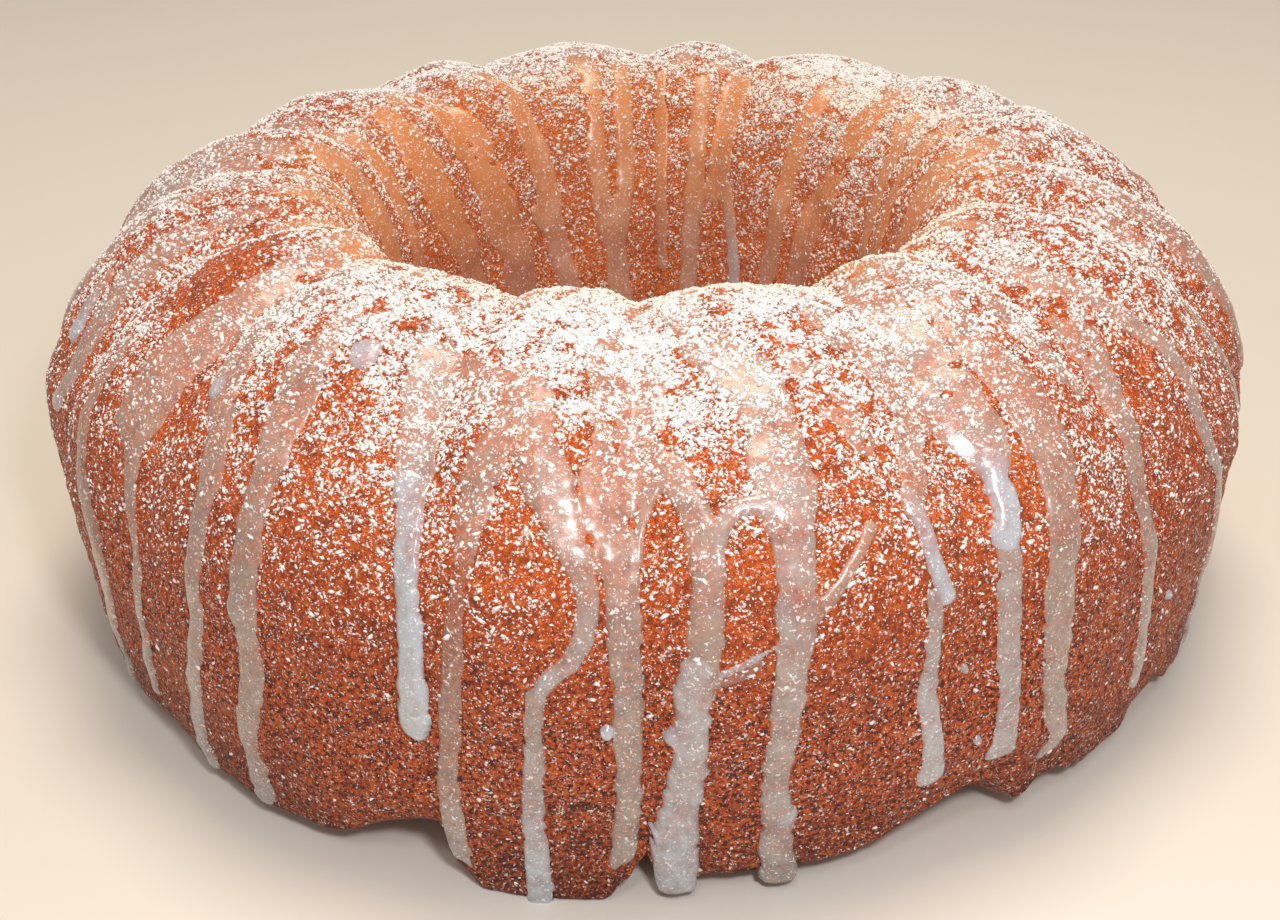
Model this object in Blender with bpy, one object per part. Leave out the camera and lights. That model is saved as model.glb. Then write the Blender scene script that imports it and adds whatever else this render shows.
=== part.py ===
"""A fluted ring cake: one tall ring of baked cake with wide and narrow lobes in turn, and sugar
glaze that has run down it and set in thick drips.

The cake stands on its own domed underside, so its outer edge hangs a few millimetres above the
table. Sizes are in metres and angles in degrees; +Z is up, and azimuth 0 is +X, 90 is +Y.
"""

import math

import bmesh
import bpy
import numpy as np

# The ring, measured over the lobes' ridges
HEIGHT = 0.0924
WIDEST_RADIUS = 0.127
WIDEST_HEIGHT = 0.0475
EDGE_RADIUS = 0.1235
EDGE_HEIGHT = 0.0055
CREST_RADIUS = 0.0815
SHOULDER_POWER = 1.9
HOLE_RADIUS = 0.0448
HOLE_TAPER = 0.0125
HOLE_EDGE_HEIGHT = 0.003
HOLE_LIP_DEPTH = 0.0495
HOLE_LIP_POWER = 3.5
EDGE_RUN = 0.1102
PROFILE_POINTS = 240

# The underside: a lip that turns in from the edge, and the flat ring that the cake rests on
LIP_TURN = 0.0035
LIP_HEIGHT_SHARE = 0.80
DOME_HEIGHT_SHARE = 0.25
REST_OUTER_RADIUS = 0.106
REST_INNER_RADIUS = 0.064
HOLE_BEVEL = 0.004

# Lobes: eight pairs, each a narrow lobe and a wide one, with a crease on either side
LOBE_PAIRS = 8
PAIR_ANGLE = 360 / LOBE_PAIRS
NARROW_LOBE_ANGLE = 17.8
WIDE_LOBE_ANGLE = PAIR_ANGLE - NARROW_LOBE_ANGLE
FIRST_NARROW_LOBE = 79.7
LOBE_ROUNDNESS = 0.75
CREASE_DEPTH = 0.0055
# How deep the creases are along the profile: run in metres, share of CREASE_DEPTH
CREASE_FADE = (
    (-0.100, 0.32),
    (-0.060, 0.41),
    (-0.023, 0.46),
    (0.007, 0.80),
    (0.035, 0.85),
    (0.060, 0.50),
    (0.085, 0.20),
    (0.110, 0.05),
)

# Soft waves of the bake round the ring and along the profile
UNEVENNESS = 0.0007
WAVES = 5
WAVE_RUN = 70.0
GOLDEN_ANGLE = 2.39996

# Where the torn edge is lifted (+) or hangs down (-): start, end, angle to grow, to end, lift
EDGE_BITES = (
    (214.0, 226.0, 4.0, 4.0, 0.0022),
    (241.5, 253.8, 10.0, 1.8, 0.0090),
    (254.0, 267.8, 2.2, 2.2, -0.0048),
    (284.0, 302.0, 14.0, 3.0, 0.0078),
    (302.5, 309.0, 2.0, 3.0, 0.0030),
    (316.0, 326.0, 3.0, 3.0, 0.0048),
)
BACK_BITES = 7
BACK_BITE_ANGLE = (8.0, 18.0)
BACK_BITE_LIFT = (-0.0035, 0.0070)
RIM_REACH = 0.020
LOWEST = 0.0004

# Drips at the front: azimuth at the start, middle and end, run at start and end, width, thickness
FRONT_DRIPS = (
    (212.0, 216.4, 210.8, 0.048, 0.1095, 0.0050, 0.0014),
    (228.5, 231.8, 227.8, 0.026, 0.1100, 0.0048, 0.0014),
    (234.0, 237.3, 235.3, 0.026, 0.1095, 0.0062, 0.0018),
    (248.4, 251.2, 251.8, 0.016, 0.0815, 0.0058, 0.0025),
    (255.8, 254.8, 254.2, 0.052, 0.1085, 0.0042, 0.0015),
    (262.2, 261.1, 260.8, 0.066, 0.1125, 0.0042, 0.0015),
    (267.2, 267.8, 267.6, 0.017, 0.1080, 0.0062, 0.0019),
    (270.6, 273.2, 271.6, 0.034, 0.1112, 0.0072, 0.0026),
    (278.2, 280.5, 279.9, 0.006, 0.1112, 0.0066, 0.0024),
    (290.3, 291.1, 292.2, 0.040, 0.0980, 0.0044, 0.0017),
    (298.6, 298.5, 298.8, 0.010, 0.1010, 0.0052, 0.0018),
    (302.4, 302.9, 304.5, 0.010, 0.1040, 0.0064, 0.0018),
    (315.5, 314.6, 316.2, 0.021, 0.1000, 0.0040, 0.0014),
    (321.8, 326.4, 331.6, 0.020, 0.1085, 0.0036, 0.0013),
)

# Drips round the back and down the hole, which a seeded rule spreads
SEED = 11
BACK_START, BACK_END = 345.0, 562.0
BACK_DRIPS = 13
BACK_DRIP_START, BACK_DRIP_END = (0.012, 0.035), (0.078, 0.109)
HOLE_DRIPS = 10
HOLE_DRIP_START, HOLE_DRIP_END = -0.012, (-0.090, -0.070)
DRIP_WIDTH, DRIP_THICKNESS, DRIP_LEAN = (0.0042, 0.0066), 0.0018, 2.5

# The form of a drip
DRIP_STATION = 0.011
DRIP_SIDES = 6
DRIP_SINK = 0.0016
DRIP_SWAY = 0.35
SWAY_RUN = 95.0
FIRST_WIDTH_SHARE = 0.4
GROWING_SHARE = 0.35
BULB_LENGTH = 0.006
BULB_SWELL = 1.25
TIP_SHARE = 0.5

# The grid that carries the surface
WIDE_LOBE_COLUMNS = 8
NARROW_LOBE_COLUMNS = 6
OUTER_RUNS = (0.008, 0.016, 0.025, 0.035, 0.046, 0.057, 0.068, 0.079, 0.090, 0.099, 0.105)
INNER_RUNS = (-0.007, -0.013, -0.019, -0.026, -0.034, -0.046, -0.060, -0.077, -0.093)

CRUST_COLOUR = (0.42, 0.115, 0.03, 1.0)
CRUST_ROUGHNESS = 0.6
SMOOTH_ANGLE = 50.0


def clear_scene():
    for old in list(bpy.data.objects):
        bpy.data.objects.remove(old)


def crust_material():
    material = bpy.data.materials.new("baked_crust")
    material.use_nodes = True
    shader = material.node_tree.nodes["Principled BSDF"]
    shader.inputs["Base Color"].default_value = CRUST_COLOUR
    shader.inputs["Roughness"].default_value = CRUST_ROUGHNESS
    shader.inputs["Metallic"].default_value = 0.0
    return material


def smooth(t):
    """An S-shaped step from 0 to 1."""
    t = np.clip(t, 0, 1)
    return t * t * (3 - 2 * t)


def nominal_profile():
    """Radius, height and run of the profile over the ridges. Run is the length along the profile,
    from 0 near the crest: positive outwards, EDGE_RUN at the edge, and negative into the hole."""
    quarter = np.linspace(0, math.pi / 2, PROFILE_POINTS)
    wall_z = np.linspace(EDGE_HEIGHT, WIDEST_HEIGHT, PROFILE_POINTS)[:-1]
    wall_rise = (wall_z - EDGE_HEIGHT) / (WIDEST_HEIGHT - EDGE_HEIGHT)
    wall_r = EDGE_RADIUS + (WIDEST_RADIUS - EDGE_RADIUS) * np.sin(wall_rise * math.pi / 2)
    shoulder_r = CREST_RADIUS + (WIDEST_RADIUS - CREST_RADIUS) * np.cos(quarter) ** (2 / SHOULDER_POWER)
    shoulder_z = WIDEST_HEIGHT + (HEIGHT - WIDEST_HEIGHT) * np.sin(quarter) ** (2 / SHOULDER_POWER)
    upright_radius = HOLE_RADIUS + HOLE_TAPER
    lip_r = CREST_RADIUS - (CREST_RADIUS - upright_radius) * np.sin(quarter[1:]) ** (2 / HOLE_LIP_POWER)
    lip_z = HEIGHT - HOLE_LIP_DEPTH * (1 - np.cos(quarter[1:]) ** (2 / HOLE_LIP_POWER))
    hole_z = np.linspace(HEIGHT - HOLE_LIP_DEPTH, HOLE_EDGE_HEIGHT, PROFILE_POINTS)[1:]
    inner_r = np.concatenate([lip_r, np.full_like(hole_z, upright_radius)])
    inner_z = np.concatenate([lip_z, hole_z])
    inner_r = inner_r - HOLE_TAPER * (1 - inner_z / HEIGHT)
    radius = np.concatenate([wall_r, shoulder_r, inner_r])
    height = np.concatenate([wall_z, shoulder_z, inner_z])
    length = np.concatenate([[0], np.cumsum(np.hypot(np.diff(radius), np.diff(height)))])
    run = EDGE_RUN - length
    return radius[::-1], height[::-1], run[::-1]


PROFILE_R, PROFILE_Z, PROFILE_RUN = nominal_profile()
SLOPE_R = np.gradient(PROFILE_R, PROFILE_RUN)
SLOPE_Z = np.gradient(PROFILE_Z, PROFILE_RUN)
HOLE_EDGE_RUN = PROFILE_RUN.min()


def lobe_bulge(azimuth):
    """0 in the creases between lobes and 1 on their ridges, as a broad rounded arch."""
    within = (azimuth - FIRST_NARROW_LOBE + NARROW_LOBE_ANGLE / 2) % PAIR_ANGLE
    narrow = within / NARROW_LOBE_ANGLE
    wide = (within - NARROW_LOBE_ANGLE) / WIDE_LOBE_ANGLE
    across = np.where(within < NARROW_LOBE_ANGLE, narrow, wide)
    return np.abs(np.sin(math.pi * across)) ** LOBE_ROUNDNESS


def unevenness(azimuth, run):
    """Soft hollows and swellings of the bake: waves round the ring that bend along the profile."""
    total = 0.0
    for k in range(1, WAVES + 1):
        along = WAVE_RUN * k * run + GOLDEN_ANGLE * k
        around = (3 * k + 2) * np.radians(azimuth) + GOLDEN_ANGLE * k
        total = total + np.sin(around + np.sin(along)) * np.cos(along) / k
    return UNEVENNESS * total


def edge_bites():
    """The bites of the front, then some by a seeded rule round the back."""
    rng = np.random.default_rng(SEED)
    bites = list(EDGE_BITES)
    for k in range(BACK_BITES):
        start = BACK_START + (BACK_END - BACK_START) * (k + rng.uniform(0, 0.5)) / BACK_BITES
        angle = rng.uniform(*BACK_BITE_ANGLE)
        bites.append((start, start + angle, angle * 0.6, angle * 0.2, rng.uniform(*BACK_BITE_LIFT)))
    return bites


def edge_height(azimuth):
    """Height of the baked edge above the table."""
    height = np.full(np.shape(azimuth), EDGE_HEIGHT)
    for start, end, growing, ending, lift in edge_bites():
        past = (azimuth - start) % 360
        height = height + lift * smooth(past / growing) * smooth((end - start - past) / ending)
    return np.maximum(height, LOWEST)


def surface(azimuth, run, lift=0.0):
    """Points of the cake's skin at an azimuth and a run, raised by lift along the nominal normal."""
    azimuth, run = np.broadcast_arrays(np.asarray(azimuth, float), np.asarray(run, float))
    radius, height = np.interp(run, PROFILE_RUN, PROFILE_R), np.interp(run, PROFILE_RUN, PROFILE_Z)
    slope_r, slope_z = np.interp(run, PROFILE_RUN, SLOPE_R), np.interp(run, PROFILE_RUN, SLOPE_Z)
    slope = np.hypot(slope_r, slope_z)
    fade_run, fade_share = np.array(CREASE_FADE).T
    crease = CREASE_DEPTH * np.interp(run, fade_run, fade_share) * (1 - lobe_bulge(azimuth))
    out = lift - crease + unevenness(azimuth, run)
    radius = radius - slope_z / slope * out
    height = height + slope_r / slope * out
    near_edge = np.where(run > 0, 1 - smooth((height - EDGE_HEIGHT) / RIM_REACH), 0)
    height = height + (edge_height(azimuth) - EDGE_HEIGHT) * near_edge
    around = np.radians(azimuth)
    return np.stack([radius * np.cos(around), radius * np.sin(around), height], -1)


def column_azimuths():
    """Azimuths of the grid's columns, with one on every crease."""
    narrow = (np.arange(NARROW_LOBE_COLUMNS) / NARROW_LOBE_COLUMNS - 0.5) * NARROW_LOBE_ANGLE
    wide = np.arange(WIDE_LOBE_COLUMNS) / WIDE_LOBE_COLUMNS * WIDE_LOBE_ANGLE + NARROW_LOBE_ANGLE / 2
    pair = FIRST_NARROW_LOBE + np.concatenate([narrow, wide])
    return np.concatenate([pair + k * PAIR_ANGLE for k in range(LOBE_PAIRS)])


def underside_rows(azimuth):
    """Rings under the cake, from the outer edge in to the hole's rim."""
    edge, flat = edge_height(azimuth), np.zeros(len(azimuth))
    lip_radius = EDGE_RADIUS - LIP_TURN
    rows = (
        (lip_radius, edge * LIP_HEIGHT_SHARE),
        ((lip_radius + REST_OUTER_RADIUS) / 2, edge * DOME_HEIGHT_SHARE),
        (REST_OUTER_RADIUS, flat),
        (REST_INNER_RADIUS, flat),
        (HOLE_RADIUS + HOLE_BEVEL, flat + HOLE_EDGE_HEIGHT / 2),
    )
    around = np.radians(azimuth)
    return [np.stack([r * np.cos(around), r * np.sin(around), z], -1) for r, z in rows]


def new_object(name, points, faces):
    mesh = bpy.data.meshes.new(name)
    mesh.from_pydata([tuple(p) for p in points], [], faces)
    mesh.update()
    made = bpy.data.objects.new(name, mesh)
    bpy.context.scene.collection.objects.link(made)
    return made


def grid_faces(rows, columns, rows_wrap):
    """Quads between rings of points, each ring closed on itself, and the rows too where they wrap."""
    faces = []
    for i in range(rows if rows_wrap else rows - 1):
        for j in range(columns):
            i2, j2 = (i + 1) % rows, (j + 1) % columns
            faces.append((i * columns + j, i * columns + j2, i2 * columns + j2, i2 * columns + j))
    return faces


def cake_body():
    """The ring itself: the skin from the hole's edge over the crest to the outer edge, then under."""
    azimuth = column_azimuths()
    runs = sorted((*OUTER_RUNS, *INNER_RUNS, 0.0, EDGE_RUN, HOLE_EDGE_RUN))
    rows = [surface(azimuth, run) for run in runs] + underside_rows(azimuth)
    faces = grid_faces(len(rows), len(azimuth), True)
    return new_object("ring_cake", np.concatenate(rows), [face[::-1] for face in faces])


def drip(start_azimuth, middle_azimuth, end_azimuth, start, end, width, thickness, phase):
    """A run of glaze: a flat round-backed bar sunk in the crust, that bends and ends in a bulb."""
    length = abs(end - start)
    neck = length - BULB_LENGTH
    steps = max(3, round(length / DRIP_STATION))
    along = np.concatenate([np.linspace(0, neck, steps), [length - BULB_LENGTH / 3, length]])
    size = FIRST_WIDTH_SHARE + (1 - FIRST_WIDTH_SHARE) * smooth(along / (GROWING_SHARE * length))
    size[-3:] = 1.0, BULB_SWELL, TIP_SHARE
    share = along / length
    azimuths = start_azimuth * (1 - share) * (1 - 2 * share) + end_azimuth * share * (2 * share - 1)
    azimuths += middle_azimuth * 4 * share * (1 - share) + DRIP_SWAY * np.sin(along * SWAY_RUN + phase)
    runs = start + (end - start) * share
    below = np.maximum(runs - EDGE_RUN, 0)
    turn = (np.arange(DRIP_SIDES) / DRIP_SIDES * 2 + 0.5) * math.pi
    rings = []
    for azimuth, run, drop, part in zip(azimuths, np.minimum(runs, EDGE_RUN), below, size, strict=True):
        radius = np.interp(run, PROFILE_RUN, PROFILE_R)
        across = np.degrees(width / 2 * part * np.cos(turn) / radius)
        lift = np.where(np.sin(turn) > 0, thickness * part, DRIP_SINK) * np.sin(turn)
        ring = surface(azimuth + across, run, lift) - np.array([0, 0, drop])
        ring[:, 2] = np.maximum(ring[:, 2], LOWEST)
        rings.append(ring)
    faces = grid_faces(len(rings), DRIP_SIDES, False)
    last = (len(rings) - 1) * DRIP_SIDES
    faces += [tuple(range(DRIP_SIDES))[::-1], tuple(last + k for k in range(DRIP_SIDES))]
    if end > start:
        faces = [face[::-1] for face in faces]
    return new_object("drip", np.concatenate(rings), faces)


def seeded_drips():
    """Drips round the back and down the hole, one at a random place in each equal share."""
    rng = np.random.default_rng(SEED)
    drips = []
    for k in range(BACK_DRIPS + HOLE_DRIPS):
        if k < BACK_DRIPS:
            azimuth = BACK_START + (BACK_END - BACK_START) * (k + rng.uniform(0.2, 0.8)) / BACK_DRIPS
            start, end = rng.uniform(*BACK_DRIP_START), rng.uniform(*BACK_DRIP_END)
        else:
            azimuth = 360 * (k + rng.uniform(0.2, 0.8)) / HOLE_DRIPS
            start, end = HOLE_DRIP_START, rng.uniform(*HOLE_DRIP_END)
        azimuths = azimuth + rng.uniform(-DRIP_LEAN, DRIP_LEAN, 3)
        drips.append((*azimuths, start, end, rng.uniform(*DRIP_WIDTH), DRIP_THICKNESS))
    return drips


def fuse(body, pieces):
    """Joins the pieces to the body with one Boolean union and removes them."""
    group = bpy.data.collections.new("glaze_drips")
    bpy.context.scene.collection.children.link(group)
    for piece in pieces:
        bpy.context.scene.collection.objects.unlink(piece)
        group.objects.link(piece)
    union = body.modifiers.new("drips", "BOOLEAN")
    union.operation = "UNION"
    union.operand_type = "COLLECTION"
    union.collection = group
    union.solver = "EXACT"
    graph = bpy.context.evaluated_depsgraph_get()
    fused = bpy.data.meshes.new_from_object(body.evaluated_get(graph))
    body.modifiers.clear()
    body.data = fused
    for piece in pieces:
        bpy.data.objects.remove(piece)
    bpy.data.collections.remove(group)


def keep_largest_shell(body):
    """Fills the hollows that the drips sealed over a crease, by keeping only the outer shell."""
    shape = bmesh.new()
    shape.from_mesh(body.data)
    unseen = set(shape.verts)
    shells = []
    while unseen:
        shell, front = set(), [unseen.pop()]
        while front:
            point = front.pop()
            shell.add(point)
            near = {edge.other_vert(point) for edge in point.link_edges} & unseen
            unseen -= near
            front += near
        shells.append(shell)
    shells.sort(key=len)
    spare = [point for shell in shells[:-1] for point in shell]
    bmesh.ops.delete(shape, geom=spare, context="VERTS")
    shape.to_mesh(body.data)
    shape.free()


def main():
    clear_scene()
    body = cake_body()
    drips = []
    for k, values in enumerate((*FRONT_DRIPS, *seeded_drips())):
        drips.append(drip(*values, phase=GOLDEN_ANGLE * k))
    fuse(body, drips)
    keep_largest_shell(body)
    body.data.materials.clear()
    body.data.materials.append(crust_material())
    body.data.shade_smooth()
    body.data.set_sharp_from_angle(angle=math.radians(SMOOTH_ANGLE))


main()
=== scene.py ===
"""The looks of a fluted ring cake: its browned crumb crust, the sugar glaze that ran down it and
set, and the powdered sugar that lies on it, on a plain pale floor.

A place on the cake is an azimuth in degrees (0 is +X, 90 is +Y) and a run: the length along the
cake's profile from near its crest, positive outwards down the wall and negative into the hole.
"""

import math

import bpy
import numpy as np
from mathutils import Matrix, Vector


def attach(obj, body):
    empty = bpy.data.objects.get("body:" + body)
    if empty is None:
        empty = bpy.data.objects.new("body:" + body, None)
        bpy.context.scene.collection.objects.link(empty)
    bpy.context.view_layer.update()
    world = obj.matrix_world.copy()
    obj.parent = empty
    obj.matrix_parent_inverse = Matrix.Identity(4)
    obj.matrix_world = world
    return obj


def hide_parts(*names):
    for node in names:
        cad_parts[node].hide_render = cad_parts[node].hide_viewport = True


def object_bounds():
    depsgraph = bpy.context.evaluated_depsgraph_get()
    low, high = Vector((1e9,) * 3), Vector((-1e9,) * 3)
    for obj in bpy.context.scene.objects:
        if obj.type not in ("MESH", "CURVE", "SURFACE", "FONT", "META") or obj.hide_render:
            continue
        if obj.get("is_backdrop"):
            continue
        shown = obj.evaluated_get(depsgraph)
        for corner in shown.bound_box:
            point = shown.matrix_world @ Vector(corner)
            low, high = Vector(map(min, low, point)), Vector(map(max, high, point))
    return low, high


MM = 0.001
GOLDEN_ANGLE = 2.39996
TINY = 1e-12
SEED = 11
# Whole numbers that mix a corner of a lattice into a random value, and the largest mixed value
HASH_X, HASH_Y, HASH_Z, HASH_SEED, HASH_AGAIN = 73856093, 19349663, 83492791, 40503, 1274126177
HASH_TOP = 0xFFFFFF
# First seeds of the value noises
LUMP_SEED, WRINKLE_SEED, RAGGED_SEED, WIDE_RAGGED_SEED = 0, 9, 21, 25
GLAZE_WAVE_SEED, PATCH_SEED, CLUSTER_SEED = 30, 40, 41

# The ring, measured over the lobes' ridges
HEIGHT = 92.4 * MM
WIDEST_RADIUS = 127 * MM
WIDEST_HEIGHT = 47.5 * MM
EDGE_RADIUS = 123.5 * MM
EDGE_HEIGHT = 5.5 * MM
CREST_RADIUS = 81.5 * MM
SHOULDER_POWER = 1.9
HOLE_RADIUS = 44.8 * MM
HOLE_TAPER = 12.5 * MM
HOLE_EDGE_HEIGHT = 3 * MM
HOLE_LIP_DEPTH = 49.5 * MM
HOLE_LIP_POWER = 3.5
EDGE_RUN = 110.2 * MM
PROFILE_POINTS = 480

# The underside: how the turned-in edge rises from the flat ring that the cake rests on
REST_OUTER_RADIUS = 106 * MM
REST_INNER_RADIUS = 64 * MM
HOLE_BEVEL = 6 * MM
# The least steps out from the hole's edge to the rings under the cake, the flat one first
UNDER_STEPS = (4 * MM, 1 * MM)
DOME_POWER = 1.3

# Lobes: eight pairs, each a narrow lobe and a wide one, with a crease on either side
PAIR_ANGLE = 360 / 8
NARROW_LOBE_ANGLE = 17.8
WIDE_LOBE_ANGLE = PAIR_ANGLE - NARROW_LOBE_ANGLE
FIRST_NARROW_LOBE = 79.7
LOBE_ROUNDNESS = 0.75
CREASE_DEPTH = 5.5 * MM
CREASE_SOFTNESS = 0.08
# How deep the creases are along the run in mm, as a share of CREASE_DEPTH
CREASE_RUNS = (-100, -60, -23, 7, 35, 60, 85, 110)
CREASE_SHARES = (0.32, 0.41, 0.46, 0.80, 0.85, 0.50, 0.20, 0.05)

# Soft waves of the bake
UNEVENNESS = 0.7 * MM
WAVES = 5
WAVE_RUN = 70.0

# Where the torn edge is lifted (+) or hangs down (-): start, end, angle to grow, to end, mm
EDGE_BITES = (
    (214.0, 226.0, 4.0, 4.0, 2.2),
    (241.5, 253.8, 10.0, 1.2, 9.0),
    (254.0, 267.8, 2.2, 2.0, -4.8),
    (268.2, 270.2, 0.7, 0.7, 5.5),
    (284.0, 302.0, 14.0, 3.0, 7.8),
    (302.5, 309.0, 2.0, 3.0, 3.0),
    (316.0, 326.0, 3.0, 3.0, 4.8),
)
BACK_START, BACK_END = 345.0, 562.0
BACK_BITES = 7
BACK_BITE_ANGLE = (8.0, 18.0)
BACK_BITE_LIFT = (-3.5, 7.0)
# How far a bite strays in its equal share of the angle, and the shares of it that grow and end
BACK_BITE_STRAY, BACK_BITE_GROWS, BACK_BITE_ENDS = 0.5, 0.6, 0.2
# How far up the wall the edge's shape reaches, and the lowest that the edge comes
RIM_REACH = 20 * MM
LOWEST = 0.4 * MM

# The crust's own relief: size of its lumps and their height in mm, the flat wrinkles near its foot,
# and how far it is sunk so that the lumps stay inside the solid's box
CRUST_LUMPS = ((7.0, 0.22), (3.2, 0.20), (1.7, 0.26))
WRINKLE_LENGTH, WRINKLE_SPACING, WRINKLE_HEIGHT, WRINKLE_TOP = 9 * MM, 1.9 * MM, 0.28 * MM, 34 * MM
CRUST_SINK = 0.55 * MM
CRUST_COLUMNS = 512
CRUST_OUTER_ROWS, CRUST_HOLE_ROWS, CRUST_DOME_ROWS = 122, 52, 12

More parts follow.
